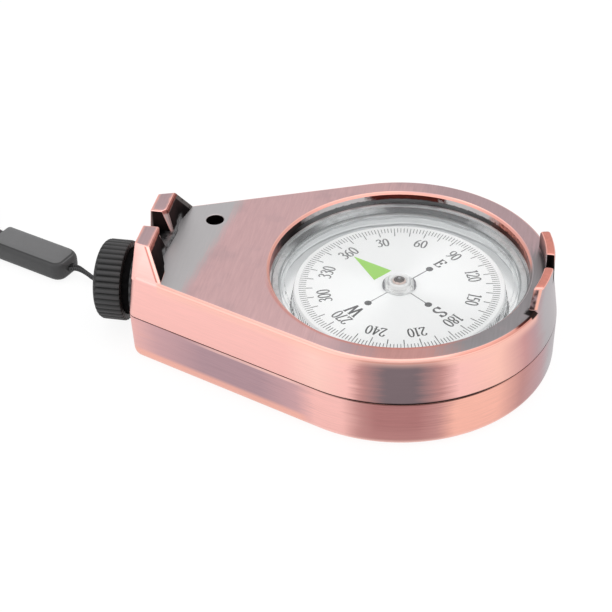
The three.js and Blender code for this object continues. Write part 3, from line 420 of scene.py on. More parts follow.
def copperFinish():
    finish = Finish("relieved_copper")
    blend, coats, lit = finish.blend, finish.coats, finish.lit
    where, (x, y, z) = finish.place()
    nx, ny, nz = finish.facing()
    flat = nz.rise(0.93, 0.99)
    turn, reach, side = turnOf(x, y), reachOf(x, y), y.size()
    inward = (x * nx + y * ny) / reach

    # Brushing: along the walls, and across the top plate
    fine = finish.streaks(where, (0.12, 0.12, 5), 5, 0.7)
    broad = finish.streaks(where, (0.04, 0.04, 1.1), 3, 0.6)
    across = finish.streaks(where, (2.2, 0.16, 0.3), 5, 0.72, turn=0.1)
    cloud = finish.noise(where, 0.11, 3, 0.55)
    blots = finish.noise(where, 0.55, 3, 0.6)
    specks = finish.noise(where, 1.3, 3, 0.65)

    # Walls: tones round the outline, with painted highlights and a painted reflection of the floor
    ragged = turn + (fine - 0.5) * 7 + (broad - 0.5) * 4
    frontHalf = x.rise(5, 8)
    offSights = (1 - turn.within(-22, 18, 2) * frontHalf) * x.rise(-44.2, -43.4)
    farSide = turn.within(8, 100, 8)
    plain = offSights * (1 - farSide * 0.8)
    overPatch = turn.within(-96, -66, 4)
    # painted highlight: a peach band along the upper wall's top
    peachHighlight = (z - overPatch * 0.7).rise(17, 18.9) * 0.7 * plain
    upper = blend(finish.byAngle(ragged, upperPatinaAndReflections), "peach", peachHighlight)
    upper = lit(upper, 1 + (fine - 0.5) * 0.22)
    lower = coats(
        lit(finish.byAngle(ragged, lowerPatinaAndReflections), 1 + (fine - 0.5) * 0.5),
        ("umber", fine.rise(0.58, 0.72) * 0.25),
        ("rust", z.rise(6, 2.5) * turn.within(-98, -66, 6) * 0.4),
        # painted reflection of the floor on the bottom rounding, then painted highlights along the bottom and
        # along the top edge at the left
        ("pale", nz.rise(-0.1, -0.7) * 0.8),
        ("salmon", (z + fine * 0.8).rise(4.1, 2.9) * turn.rise(-112, -120) * 0.85),
        ("pale", z.rise(9.7, 9.9) * turn.within(-152, -118, 6) * (1 - broad) * 1.2),
    )
    seam = z.within(10.24, 10.8, 0.05) * (broad + fine).rise(0.7, 0.9) * turn.within(-104, -45, 12)
    wall = coats(upper, (lower, z.rise(10.6, 10.4)), ("dark", seam * 0.9))

    # Top plate, grey at the tail; its tones round the dial are painted reflections mixed with patina
    tail = (x - y * 0.12 + 36.3 + (across - 0.5) * 4).rise(1.5, -1.5)
    nearEdge = reach.rise(25.8, 25.4) * y.rise(-6, -14) * turn.rise(-46, -70)
    top = coats(
        finish.byAngle(turn + (across - 0.5) * 24, topPatinaAndReflections),
        ("top", x.rise(-8, -18)),
        ("tail", tail),
        ("dull", cloud.rise(0.5, 0.7) * 0.45 * (1 - tail)),
        ("inner", nearEdge * 0.55),
    )
    top = lit(top, 0.97 + (across - 0.5) * (0.36 - tail * 0.25))

    # Painted highlight on the rubbed edges: a bright line and a redder one under it, both lost beside the
    # front sight
    dulled = turn.within(-62, -22, 5) * frontHalf
    rim = nz.within(0.56, 0.95, 0.04) * offSights
    colour = coats(
        wall,
        (top, flat),
        ("dull", farSide * nz.within(0.12, 0.97, 0.05) * reach.rise(26, 27) * 0.6),
        ("inner", nz.within(0.26, 0.52, 0.05) * plain * (0.2 + overPatch * 0.25)),
        (blend("bright", "worn", dulled), rim * (0.75 - farSide * 0.58)),
    )
    rimLine = nz.within(0.72, 0.84, 0.04) * rim * (1 - dulled) * (1 - farSide)
    # Painted highlight on the bore's bevel, grey where it turns to the near right
    bevel = reach.rise(25.4, 25.2) * nz.within(0.4, 0.9, 0.05) * z.within(19, 19.44, 0.04)
    bevelTone = lit(blend("bevel", "steel", turn.within(-75, 8, 6)), 0.95)
    colour = blend(lit(colour, 1 - rimLine * 0.13), bevelTone, bevel)

    # The bore's wall: painted reflections, patchy with black
    bore = inward.rise(-0.7, -0.95) * reach.rise(26, 25) * z.rise(16.8, 17)
    darkReflection = (specks * 0.6 + (18.1 - z) * 0.9).rise(0.2, 0.42) * turn.within(24, 160, 8)
    darkReflectionTone = blend("black", tint(92, 91, 92), turn.rise(72, 90) * turn.rise(150, 140))
    boreTone = coats(
        finish.byAngle(turn + (blots - 0.5) * 16, boreReflections),
        (darkReflectionTone, darkReflection * 0.85),
        ("oxblood", specks.rise(0.45, 0.65) * turn.within(12, 50, 6) * 0.7),
        (tint(120, 121, 122), z.rise(18.05, 17.85) * turn.within(60, 150, 8) * 0.8),
    )
    colour = blend(colour, boreTone, bore)

    # Rear sight: blackened towards the dial and in its notch, worn pale on its edges, with painted highlights
    # along its edges and painted reflections on its dial faces
    sight = z.rise(19.55, 19.59) * x.rise(-43.3, -43.45) * side.rise(13.7, 13.4)
    sight = sight.most(z.rise(19.61, 19.7) * x.rise(-40.6, -41))
    fromEdge = (x + 49.05).least(-45.75 - x).least(side - 2.4).least(9.5 - side)
    hornTone = blend("dull", "rubbed", (fromEdge + blots * 0.6).rise(1.15, 0.4))
    toMiddle = (y * ny).rise(-0.3, -1)
    dialFace = nx.rise(0.5, 0.62) * z.rise(24.9, 24.7)
    notch = toMiddle * ny.size().rise(0.85, 0.95)
    blackened = dialFace.most(notch)
    reflectedStrips = (y + z * 0.6875).rise(25.3, 25.6).most(z.within(24.1, 24.6, 0.15) * y.rise(0, 1) * 0.8)
    footStrip = (z + blots).rise(21.5, 21) * y.within(-4.4, 8.5, 0.8)
    flare = toMiddle * nx.within(0.45, 0.85, 0.05) * nz.rise(0.5, 0.4) * ny.size().rise(0.3, 0.4)
    sillTone = blend("black", tint(124, 122, 123), x.rise(-47.2, -44.8))
    sill = z.within(20.3, 20.85, 0.06) * side.rise(4.5, 4.2) * nz.rise(0.7, 0.9)
    chamferTone = blend(tint(150, 84, 75), tint(186, 124, 114), y.rise(2, -2))
    chamferBlots = specks.rise(0.45, 0.65) * (0.3 + y.rise(-2, 2) * 0.5)
    chamfer = nx.rise(0.3, 0.5) * nz.rise(0.95, 0.92) * (z + specks * 0.5).rise(24.3, 24.7)
    slope = x + z * 0.516 + 32.9
    outerFace = (y * ny).rise(2, 6) * nz.rise(0.7, 0.6)
    colour = coats(
        colour,
        (lit(hornTone, 1 + (across - 0.5) * 0.3), nz.rise(0.9, 0.97) * z.rise(24, 24.4)),
        (blend("black", "dark", (z + blots * 3).rise(22, 25.5)), blackened),
        # painted reflection: grey strips across the top of the dial faces
        (blend(tint(128, 122, 120), "dark", specks.rise(0.5, 0.7)), dialFace * reflectedStrips * 0.85),
        (blend(tint(142, 142, 143), "dark", specks.rise(0.4, 0.75)), dialFace * footStrip * 0.9),
        ("flare", notch * x.rise(-48.5, -48.9) * 0.8),
        (lit("flare", 0.9 + (z - 20) * 0.05), flare),
        (blend(sillTone, "black", specks.rise(0.5, 0.62) * 0.7), sill),
        (blend(chamferTone, "oxblood", chamferBlots), chamfer * 0.9),
        # painted highlight along the outer face's sloping edge, with a redder line inside it
        (tint(186, 106, 92), outerFace * slope.within(-1.15, -0.75, 0.1) * 0.8),
        ("pale", outerFace * slope.rise(-0.75, -0.55) * 0.9),
        over=sight,
    )

    # Front sight: worn tops, dark towards the dial, painted highlights on its edges, flush with the wall
    # outside
    wings = z.rise(19.65, 19.8) * x.rise(23, 24)
    inSlot = side.rise(2.15, 2.05)
    # painted highlight along the outer edge of its ends
    endTone = blend(blend("dark", "dull", blots.rise(0.35, 0.7)), "salmon", reach.rise(28, 28.3))
    colour = coats(
        colour,
        (blend("dark", "blush", (z + blots).rise(19.8, 24.6)), inward.rise(-0.6, -0.9)),
        (endTone, inward.size().rise(0.66, 0.5) * nz.rise(0.7, 0.5)),
        (lit("worn", 0.8 + specks * 0.4), nz.rise(0.8, 0.97)),
        ("rubbed", nz.within(0.5, 0.9, 0.05)),
        ("black", inSlot * nz.rise(0.9, 0.7)),
        over=wings,
    )
    # Painted shadow and patina: black at the front sight's foot and slot floor, and a dark band on the rim
    # beside it
    slotFloor = x.rise(26.6, 27.2) * inSlot * flat
    foot = reach.within(26.7, 27.4, 0.25) * turn.within(3, 17, 1.5) * 0.6
    blob = turn.within(-25.5, -21.2, 0.5) * (reach + blots).rise(27.2, 27.8)
    band = turn.within(-34, -21.5, 2) * nz.within(0.78, 0.985, 0.02) * reach.rise(27.5, 28)
    shadeAndPatina = slotFloor.most(foot).most(blob).most(band) * frontHalf * z.within(18.9, 19.75, 0.05)
    shadeAndPatinaTone = blend("black", "oxblood", turn.rise(-26, -32))

    # Inside, and the lanyard hole's wall
    fromHole = reachOf(x - hole["place"][0], y - hole["place"][1])
    hidden = (reach.rise(26.9, 26.5) * x.rise(-24, -22)).most(nz.size().rise(0.9, 0.99))
    inside = (z.within(2.4, 16.7, 0.2) * hidden).most(
        fromHole.rise(1.86, 1.8) * z.within(0.3, 19.5, 0.05)
    )
    colour = coats(
        colour,
        (shadeAndPatinaTone, shadeAndPatina * nz.rise(0.3, 0.5) * 0.98),
        ("tail", fromHole.rise(2.3, 2.1) * z.rise(19, 19.3) * 0.9),
        ("dark", inside),
    )
    rough = 0.36 + fine * 0.12 + sight * blackened * 0.5
    bump = (fine * (1 - flat) + across * flat) * 0.6
    return finish.painted(colour, rough, 1.0, bump, 0.012)


def plainFinish(name, colour, dark, rough, metallic=0.0, scale=0.6, depth=0.02, shine=0.5):
    finish = Finish(name)
    where, _ = finish.place()
    grain = finish.noise(where, scale, 3, 0.6)
    fine = finish.noise(where, scale * 7, 2, 0.6)
    paint = finish.blend(dark, colour, grain.rise(0.25, 0.7))
    return finish.painted(paint, rough + fine * 0.15, metallic, fine, depth, shine)


def clearFinish(name, colour, reflectsScale=False):  # lets light straight through
    finish = Finish(name)
    where, (x, y, z) = finish.place()
    surface = finish.clear(colour)
    if reflectsScale:  # painted reflection of the side scale, blurred, in the window's rim to the left and right
        reach = reachOf(x, y)
        marks = finish.streaks(where, (1, 1, 0.1), 1, 0.5, 0.9).rise(0.38, 0.72)
        sides = (x / reach).size().rise(0.76, 0.9) * (x * 0.4 - y).rise(-16, -6)
        rim = z.rise(16.6, 16.5) * reach.within(21.6, 21.9, 0.03) * y.rise(-2, -5)
        reflectionTone = finish.shader(tint(128, 129, 131), 0.3)
        surface = finish.mixed(marks * sides * rim * 0.55, surface, reflectionTone)
    haze = finish.noise(where, 0.3)
    return finish.glazed(surface, 0.05 + haze * 0.03, 0.03, 0.97)


def sealFinish():  # seen through the window: painted shade on the far side and in a crescent to the left, pale round the rest
    finish = Finish("seal_grey")
    where, (x, y, _) = finish.place()
    turn = turnOf(x, y)
    smear = finish.noise(where, 0.5, 3, 0.6)
    paint = finish.coats(
        tint(204, 206, 207),
        (tint(104, 105, 107), (turn + smear * 20).within(66, 118, 9)),
        (tint(60, 60, 62), turn.within(140, 163, 7) * 0.8),
        (tint(120, 121, 123), smear.rise(0.5, 0.66) * 0.3),
    )
    return finish.painted(paint, 0.5 + smear * 0.1)


copper = copperFinish()
steel = plainFinish("screw_steel_turned", tint(176, 178, 182), tint(140, 142, 146), 0.22, 1.0, 2)
brass = plainFinish("pivot_brass_turned", tint(205, 178, 112), tint(160, 134, 78), 0.25, 1.0, 2)
magnetGrey = plainFinish("magnet_ground", tint(104, 104, 108), tint(78, 78, 82), 0.35, 0.8, 1.2)
rubber = plainFinish("rubber_matt", tint(46, 46, 47), tint(30, 30, 31), 0.7, 0.0, 1.5, 0.03)
moulded = plainFinish("black_moulded", tint(20, 20, 21), tint(12, 12, 13), 0.7, 0.0, 1.1, 0.02, 0.02)
clearTone = (0.985, 0.988, 0.988, 1)
windowClear = clearFinish("window_clear", clearTone, reflectsScale=True)
plateClear = clearFinish("plate_clear", clearTone)
lensClear = clearFinish("lens_clear", (0.9, 0.94, 0.93, 1))
print("compass: finishes ready")


# Cords: the thread round the eyepiece's neck and the put-away wrist cord, on the part's routes

thread = {
    "diameter": 0.8, "smoothness": 8, "sides": 3,
    "weave": (2, 1.1, 0.05),  # strands round it, their pitch and depth
    "route": [
        (-75.04, 13.96, 2.45), (-70.58, 12.26, 2.42), (-69.4, 12.4, 2.15), (-68.2, 11.95, 1.75),
        (-66.8, 11.3, 1.3), (-65.4, 10.7, 0.92), (-63.2, 11, 0.9), (-60.8, 12.4, 1.7),
        (-58.4, 13.2, 3.9), (-55.6, 12.4, 6.6), (-52.9, 9.9, 10.4),
        (-51.65, 5.4, 14.2), (-51.6, 0, 16.68), (-51.6, -5.04, 14.59), (-51.6, -7.13, 9.55),
        (-51.6, -5.04, 4.51), (-51.6, 0, 2.42), (-51.9, 4.6, 1.5), (-53.6, 8.6, 0.9),
        (-57, 10.5, 0.65), (-60.5, 10.6, 0.7), (-63.2, 9.9, 1), (-65.4, 9.85, 1.5),
        (-66.8, 10.5, 1.9), (-68.2, 11, 2.3), (-69.4, 11.2, 2.5), (-71.02, 11.14, 2.42),
        (-75.46, 12.84, 2.45),
    ],
}
wristCord = {
    "diameter": 2.4, "smoothness": 6, "sides": 4, "weave": (4, 2.2, 0.12),
    "out": [
        (-79.23, 16.53, 2.45), (-83.34, 18.1, 2.45), (-87.73, 19.77, 2.45), (-90.1, 20.8, 2.42),
        (-92.3, 22.5, 2.35), (-93.8, 25.1, 2.25), (-94.8, 28.2, 2.15), (-95.75, 31.1, 2.1),
        (-97.05, 32.9, 2.1), (-98.69, 34.65, 2.1),
    ],
    "back": [
        (-80.3, 13.72, 2.45), (-84.41, 15.29, 2.45), (-88.8, 16.97, 2.45), (-91.2, 17.75, 2.5),
        (-93.7, 17.8, 2.8), (-96.3, 16.9, 3.4), (-99, 15.4, 4.15), (-101.7, 14.05, 4.85),
        (-104.5, 13.4, 5.1), (-106.89, 13.18, 5.1),
    ],
}
sleeve = {
    "nose": (-70.8, 11.7), "heading": 159.1, "length": 18.7, "width": 7.2, "height": 4.9,
    "corner": (1.6, 6), "noseLength": 2.6, "noseSteps": 7, "tipShare": 0.45, "endEdge": (0.2, 2),
    # From, to, half width, half height, corner and its steps
    "throat": (-5, 1, 0.9, 0.55, 0.5, 4), "chamber": (-20, -5, 3, 1.5, 1.3, 5),
}
coil = {
    "reach": 45.6, "radius": 15.42, "pitch": 3, "rise": 3, "low": 2.1, "fullTurns": 3, "stepsPerTurn": 48,
}


def fromSleeve(along, across, height):
    turn = math.radians(sleeve["heading"])
    c, s = math.cos(turn), math.sin(turn)
    nose = sleeve["nose"]
    return (nose[0] + along * c + across * s, nose[1] + along * s - across * c, height)


def easedPath(points, steps):  # a smooth line through the points, each stretch in so many steps
    spots = [Vector(p) for p in points]
    spots = [2 * spots[0] - spots[1]] + spots + [2 * spots[-1] - spots[-2]]
    made = []
    for a, b, c, d in zip(spots, spots[1:], spots[2:], spots[3:]):
        t1 = (b - a).length ** 0.5
        t2 = t1 + (c - b).length ** 0.5
        t3 = t2 + (d - c).length ** 0.5
        for k in range(steps):
            t = t1 + (t2 - t1) * k / steps
            ab = a.lerp(b, t / t1)
            bc = b.lerp(c, (t - t1) / (t2 - t1))
            cd = c.lerp(d, (t - t2) / (t3 - t2))
            abc = ab.lerp(bc, t / t2)
            bcd = bc.lerp(cd, (t - t1) / (t3 - t1))
            made.append(abc.lerp(bcd, (t - t1) / (t2 - t1)))
    return made + [spots[-2]]


def coilLine():
    centre = Vector(fromSleeve(coil["reach"], 0, 0))
    lean = math.acos(coil["radius"] / (coil["reach"] - sleeve["length"]))
    start = math.radians(sleeve["heading"]) + math.pi + lean
    turns = coil["fullTurns"] + 1 - lean / math.pi
    count = round(turns * coil["stepsPerTurn"])
    spots = []
    for k in range(count + 1):
        done = turns * k / count
        radius = coil["radius"] - coil["pitch"] * min(done, turns - done)
        climb = min(max((done - turns / 2) * 2 + 0.5, 0), 1)
        angle = start + done * fullTurn
        height = coil["low"] + coil["rise"] * climb
        spots.append(centre + Vector((radius * math.cos(angle), radius * math.sin(angle), height)))
    return spots


def pathLength(points):
    return sum((b - a).length for a, b in zip(points, points[1:]))


def swept(name, lines, depth, sides, twist):  # lines of points, each with its share of the depth
    calm()
    bpy.ops.curve.primitive_nurbs_path_add()
    piece = bpy.context.object
    piece.name = name
    piece.location = (0, 0, 0)
    shape = piece.data
    shape.splines.clear()
    for line in lines:
        strand = shape.splines.new("POLY")
        strand.points.add(len(line) - 1)
        for spot, (point, share) in zip(strand.points, line):
            spot.co = (*point, 1)
            spot.radius = share
    shape.dimensions = "3D"
    shape.twist_mode = twist
    shape.bevel_depth = depth
    shape.bevel_resolution = sides
    shape.use_fill_caps = True
    only(piece)
    bpy.ops.object.convert(target="MESH")
    return bpy.context.object


def cordTube(name, points, cord):
    line = [(point * mm, 1) for point in points]
    tube = swept(name, [line], cord["diameter"] / 2 * mm, cord["sides"], "MINIMUM")
    edit(tube)
    clean(0.0001)
    calm()
    return tube


def braidFinish(name, colour, dark, length, around, pitch, depth):
    # Two sets of strands that cross, laid out on the cord's own map
    finish = Finish(name)
    along, across, _ = finish.parts(finish.node("UVMap", {"uv_map": "UVMap"}))
    runs, strands = along * (length / pitch), across * around
    one = ((runs + strands) * fullTurn).sine()
    weave = one.most(((runs - strands) * fullTurn).sine())
    where, _ = finish.place()
    fuzz = finish.noise(where, 9, 2, 0.6)
    paint = finish.blend(dark, colour, (weave * 0.5 + fuzz * 0.6).rise(0.1, 0.85))
    return finish.painted(paint, 0.62 + fuzz * 0.2, 0.0, weave + fuzz * 0.5, depth)


threadLine = easedPath(thread["route"], thread["smoothness"])
threadLength = pathLength(threadLine)
threadPiece = cordTube("thread_loop", threadLine, thread)
threadLook = braidFinish("thread_twist", tint(66, 66, 68), tint(24, 24, 25), threadLength, *thread["weave"])
finished(threadPiece, "case", "lanyard_cord", threadLook, "lanyard_thread")

wayOut, wayBack = (easedPath(wristCord[way], wristCord["smoothness"]) for way in ("out", "back"))
wristLine = wayOut[:-1] + coilLine() + wayBack[-2::-1]
wristLength = pathLength(wristLine)
wristPiece = cordTube("wrist_cord", wristLine, wristCord)
wristLook = braidFinish("wrist_braid", tint(70, 70, 72), tint(20, 20, 21), wristLength, *wristCord["weave"])
finished(
    wristPiece, "case", "lanyard_cord", wristLook,
    "wrist_cord_run_1", "wrist_cord_coil", "wrist_cord_run_2",
)
print(f"compass: thread {threadLength:.1f} mm, wrist cord {wristLength:.1f} mm")


# Case: one teardrop outline, drawn up or down with its draft

case = {
    "radius": 30, "reach": 50.6, "narrowHalf": 12.15, "roundSteps": 240,
    "seam": 10.5, "gap": 0.14, "height": 19.6, "upperDraft": 7.3, "lowerDraft": 1.1,
    "cornerSlide": 1.36, "cornerSteps": 8, "innerSlide": 0.7,
    "topEdge": (0.79, 6), "bottomEdge": (2.45, 10), "seamEdge": (0.14, 2),  # width and steps
    "underside": 16.9, "floor": 2.2, "upperWall": 2, "lowerWall": 3.2, "lipTop": 11.7,
    "lipGap": 0.3, "cavityTop": 13, "bore": 24.6, "boreBevel": 0.5,
    "cutLow": 9, "cutHigh": 12,  # where a tool that crosses the seam ends
    "past": 1,  # how far a tool runs out of the metal
}
narrow = math.atan(case["narrowHalf"] / case["reach"])
sideLean = math.asin(case["radius"] / math.hypot(case["reach"], case["narrowHalf"])) - narrow


def halfWidth(x, inset):
    return (case["radius"] - inset + math.sin(sideLean) * x) / math.cos(sideLean)


def upperInset(z):
    return (z - case["seam"]) * math.tan(math.radians(case["upperDraft"]))


def lowerInset(z):
    return (case["seam"] - z) * math.tan(math.radians(case["lowerDraft"]))


def teardrop(name, z, inset, lookUp):
    radius = case["radius"] - inset
    piece = added(
        name, bpy.ops.mesh.primitive_circle_add, vertices=case["roundSteps"], radius=radius * mm,
        location=(0, 0, z * mm),
    )
    tangent = math.pi / 2 + sideLean
    touch = Vector((radius * math.cos(tangent), radius * math.sin(tangent), z))
    edit(piece)
    pick("VERT", lambda p, v: p.x < touch.x + 0.05)
    bpy.ops.mesh.delete(type="VERT")
    wallX = inset - case["reach"]
    corner = Vector((wallX, halfWidth(wallX, inset), z))
    for way in (1, -1):
        mesh = bmesh.from_edit_mesh(piece.data)
        last = min((v.co / mm for v in mesh.verts if v.co.y * way > 0), key=lambda p: p.x)
        pick("VERT", lambda p, v: (p - last).length < 0.001)
        for goal in (touch, corner):
            aim = Vector((goal.x, goal.y * way, goal.z))
            step = (aim - last) * mm
            bpy.ops.mesh.extrude_vertices_move(TRANSFORM_OT_translate={"value": step})
            last = aim
    pick("VERT", lambda p, v: p.x < wallX + 0.01)
    bpy.ops.mesh.edge_face_add()
    everything()
    bpy.ops.mesh.edge_face_add()
    face = bmesh.from_edit_mesh(piece.data).faces[0]
    face.normal_update()
    if (face.normal.z > 0) != lookUp:
        everything()
        bpy.ops.mesh.flip_normals()
    return piece


def drawnUp(name, low, high, insetLow, insetHigh, lookUp=True, corner=case["innerSlide"]):
    # A closed slab between two heights; the base is at low, or at high when it looks down
    base = low if lookUp else high
    first, last = (insetLow, insetHigh) if lookUp else (insetHigh, insetLow)
    piece = teardrop(name, base, first, lookUp)
    pick("FACE", lambda p, f: True)
    bpy.ops.mesh.inset(thickness=(last - first) * mm, depth=(high - low) * mm, use_even_offset=True)
    pick("EDGE", lambda p, e: abs(p.z - base) < 0.001 and len(e.link_faces) == 1)
    bpy.ops.mesh.edge_face_add()
    return rounded(piece, lambda p, e: p.x < -30 and level(e) > 0.5, corner, case["cornerSteps"])


rearSight = {
    "foot": 18.7, "top": 25.1, "end": -49.45, "dial": -43.25, "endHalf": 11.37, "dialHalf": 13.84,
    "endLean": 0.45, "dialLean": 2.6, "endSideLean": 3, "dialSideLean": 4.4,
    "footLine": (
        (-13.84, 0.7), (-9.5, -0.2), (-7, -0.8), (-4.2, -1.15), (4.2, -0.65), (7, -0.75), (9.5, -0.6),
    ),
    "notchHalf": 2.5, "sill": 20.6, "flare": (0.95, 1), "edge": (0.42, 3),
}


def rearSightForm():
    s = rearSight
    piece = block("rearSight", s["end"], s["dial"], -s["endHalf"], s["endHalf"], s["foot"], s["top"])
    edit(piece)
    for way in (1, -1):
        pick("VERT", lambda p, v: p.y * way > 0 and p.x > -46)
        shift(0, way * (s["dialHalf"] - s["endHalf"]), 0)
        pick("VERT", lambda p, v: p.y * way > 0 and p.x > -46 and p.z > 20)
        shift(-s["dialLean"], -way * s["dialSideLean"], 0)
        pick("VERT", lambda p, v: p.y * way > 0 and p.x < -48 and p.z > 20)
        shift(s["endLean"], -way * s["endSideLean"], 0)
    for place, step in s["footLine"]:  # the foot towards the dial follows a shallow arc
        everything()
        bpy.ops.mesh.bisect(plane_co=(0, place * mm, 0), plane_no=(0, 1, 0))
        pick("VERT", lambda p, v: p.z < 19 and p.x > -44 and abs(p.y - place) < 0.05)
        shift(step, 0, 0)
    half = s["notchHalf"]
    carve(piece, block("notch", -53, -40, -half, half, s["sill"], 27))
    rounded(
        piece, lambda p, e: sharp(e) and level(e) > 2 and abs(abs(p.y) - half) < 0.05 and p.x > -47,
        *s["flare"],
    )
    return rounded(
        piece, lambda p, e: sharp(e, 0.3) and p.z > 19.2 and not (p.z < 20.7 and abs(p.y) < 4.4),
        *s["edge"], clamp_overlap=True,
    )


frontSight = {
    "inner": 27.2, "outer": 28.95, "root": 18.4, "top": 23.6, "slotHalf": 2, "edge": (0.45, 3),
    "nearEnd": (-8.7, 0.42), "farEnd": (9.9, 0.02), "farRounding": (1.2, 4), "steps": 96,
}


def frontSightForm():
    s = frontSight
    low, high = s["root"], s["top"]
    corners = [(s["inner"], low), (s["outer"], low), (s["outer"], high), (s["inner"], high)]
    piece = spun("frontSight", corners + corners[:1], s["steps"])
    edit(piece)
    cuts = [((0.02, 0, 0), (-1, 0, 0))]
    for way, (end, slope) in ((-1, s["nearEnd"]), (1, s["farEnd"])):
        cuts.append(((0, end * mm, high * mm), (0, way, slope)))
    for place, facing in cuts:
        everything()
        bpy.ops.mesh.bisect(plane_co=place, plane_no=facing, clear_outer=True, use_fill=True)
    clean()
    farEnd = s["farEnd"][0] - 0.1
    rounded(piece, lambda p, e: sharp(e, 1) and p.y > farEnd and p.z > high - 0.01, *s["farRounding"])
    carve(piece, block("slot", 20, 32, -s["slotHalf"], s["slotHalf"], case["height"], 26))
    return rounded(piece, lambda p, e: sharp(e) and p.z > 19.9, *s["edge"])


screw = {
    "boss": 2.6, "bossFoot": 1.9, "bossPast": 0.3, "hole": 1.3, "holeTop": 15.1,
    "mouth": 3.55, "mouthDepth": 0.25, "head": 2.3, "headDepth": 2, "steps": 48,
}
holder = {"room": 0.3, "wall": 0.9, "top": 5.2, "slotTop": 6}  # holds the index plate
barrelWay = [(-53, 0), (-53, 6.1), (-47.4, 6.1), (-47.4, 7.3), (-45, 7.3), (-45, 0)]
screwPlaces = []
for name, ways in (("case_screw_1", (1, -1)), ("case_screw_3", (1,))):
    low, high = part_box(name)
    middle = (low + high) / (2 * mm)
    screwPlaces += [(middle.x, middle.y * way) for way in ways]


def addBosses(piece, low, high):
    places = [(screw["boss"], *place) for place in screwPlaces]
    for radius, x, y in places + [(hole["radius"] + hole["wall"], *hole["place"])]:
        carve(piece, post("boss", radius, low, high, x, y), "UNION")


def cutHoles(piece, profile):  # the lanyard hole and the barrel's way in
    carve(piece, moved(spun("hole", profile, hole["steps"]), *hole["place"]))
    carve(piece, spun("barrelWay", barrelWay, onEye=True))


def levelAt(z):
    return lambda p, e: abs(p.z - z) < 0.001 and level(e) < 0.001


def upperShell():
    low, high, under, past = case["seam"] + case["gap"] / 2, case["height"], case["underside"], case["past"]
    piece = drawnUp("case_top", low, high, upperInset(low), upperInset(high), corner=case["cornerSlide"])
    rounded(piece, levelAt(high), *case["topEdge"])
    rounded(piece, levelAt(low), *case["seamEdge"])
    carve(piece, rearSightForm(), "UNION")
    carve(piece, frontSightForm(), "UNION")
    wall = case["upperWall"]
    carve(piece, drawnUp("cavity", case["cutLow"], under, wall, wall + upperInset(under)))
    addBosses(piece, low, under + screw["bossPast"])
    bore, bevel = case["bore"], case["boreBevel"]
    profile = [
        (0, case["cutLow"]), (bore, case["cutLow"]), (bore, high - bevel), (bore + bevel + past, high + past),
        (0, high + past),
    ]
    carve(piece, spun("bore", profile, case["roundSteps"]))
    r, lip = hole["radius"], hole["lip"]
    cutHoles(piece, [
        (0, case["cutLow"]), (r, case["cutLow"]), (r, high - lip), (r + lip + past, high + past),
        (0, high + past),
    ])
    for x, y in screwPlaces:
        carve(piece, post("screwHole", screw["hole"], case["cutLow"], screw["holeTop"], x, y))
    return piece


def lowerShell():
    high, past = case["seam"] - case["gap"] / 2, case["past"]
    piece = drawnUp(
        "case_bottom", 0, high, lowerInset(0), lowerInset(high), lookUp=False, corner=case["cornerSlide"],
    )
    rounded(piece, levelAt(0), *case["bottomEdge"])
    rounded(piece, levelAt(high), *case["seamEdge"])
    lipInset = case["upperWall"] + upperInset(case["lipTop"]) + case["lipGap"]
    carve(piece, drawnUp("lip", case["cutLow"], case["lipTop"], lipInset, lipInset), "UNION")
    wall = case["lowerWall"]
    carve(piece, drawnUp("cavity", case["floor"], case["cavityTop"], wall, wall))
    foot = screw["bossFoot"]
    addBosses(piece, foot, high)
    low, top = (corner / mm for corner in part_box("index_plate"))
    room = holder["room"]
    for grow, bottom, end, change in (
        (room + holder["wall"], foot, holder["top"], "UNION"),
        (room, low.z - room, holder["slotTop"], "DIFFERENCE"),
    ):
        spot = (low.x - grow, top.x + grow, low.y - grow, top.y + grow, bottom, end)
        carve(piece, block("holder", *spot), change)
    r, lip, cut = hole["radius"], hole["lip"], case["cutHigh"]
    cutHoles(piece, [(0, -past), (r + lip + past, -past), (r, lip), (r, cut), (0, cut)])
    s = screw
    seat = [
        (0, -past), (s["mouth"], -past), (s["head"], s["mouthDepth"]), (s["head"], s["headDepth"]),
        (s["hole"], s["headDepth"]), (s["hole"], cut), (0, cut),
    ]
    for place in screwPlaces:
        carve(piece, moved(spun("seat", seat, s["steps"]), *place))
    return piece


finished(upperShell(), "case", "copper_finish", copper, "upper_shell", angle=24)
finished(lowerShell(), "case", "copper_finish", copper, "lower_shell", angle=24)
print("compass: case shells done")


# Capsule

def cupFinish():  # painted light: the wall glows a little, standing in for light through the clear plastic; greyer towards the top, with painted reflections of the dial's lines
    finish = Finish("cup_clear_grey")
    where, (_, _, z) = finish.place()
    cloud = finish.noise(where, 0.16)
    reflectedLines = (z * 3.3 + cloud * 5).sine()
    paint = finish.coats(
        tint(248),
        (tint(212, 214, 215), z.rise(7, 13)),
        (tint(138, 140, 143), reflectedLines.rise(0.3, 1) * z.rise(12.2, 13) * 0.7),
        (tint(112, 114, 117), z.within(15.3, 15.9, 0.1) * 0.7),
    )
    return finish.painted(paint, 0.34 + cloud * 0.1, glow=(paint, 0.18))


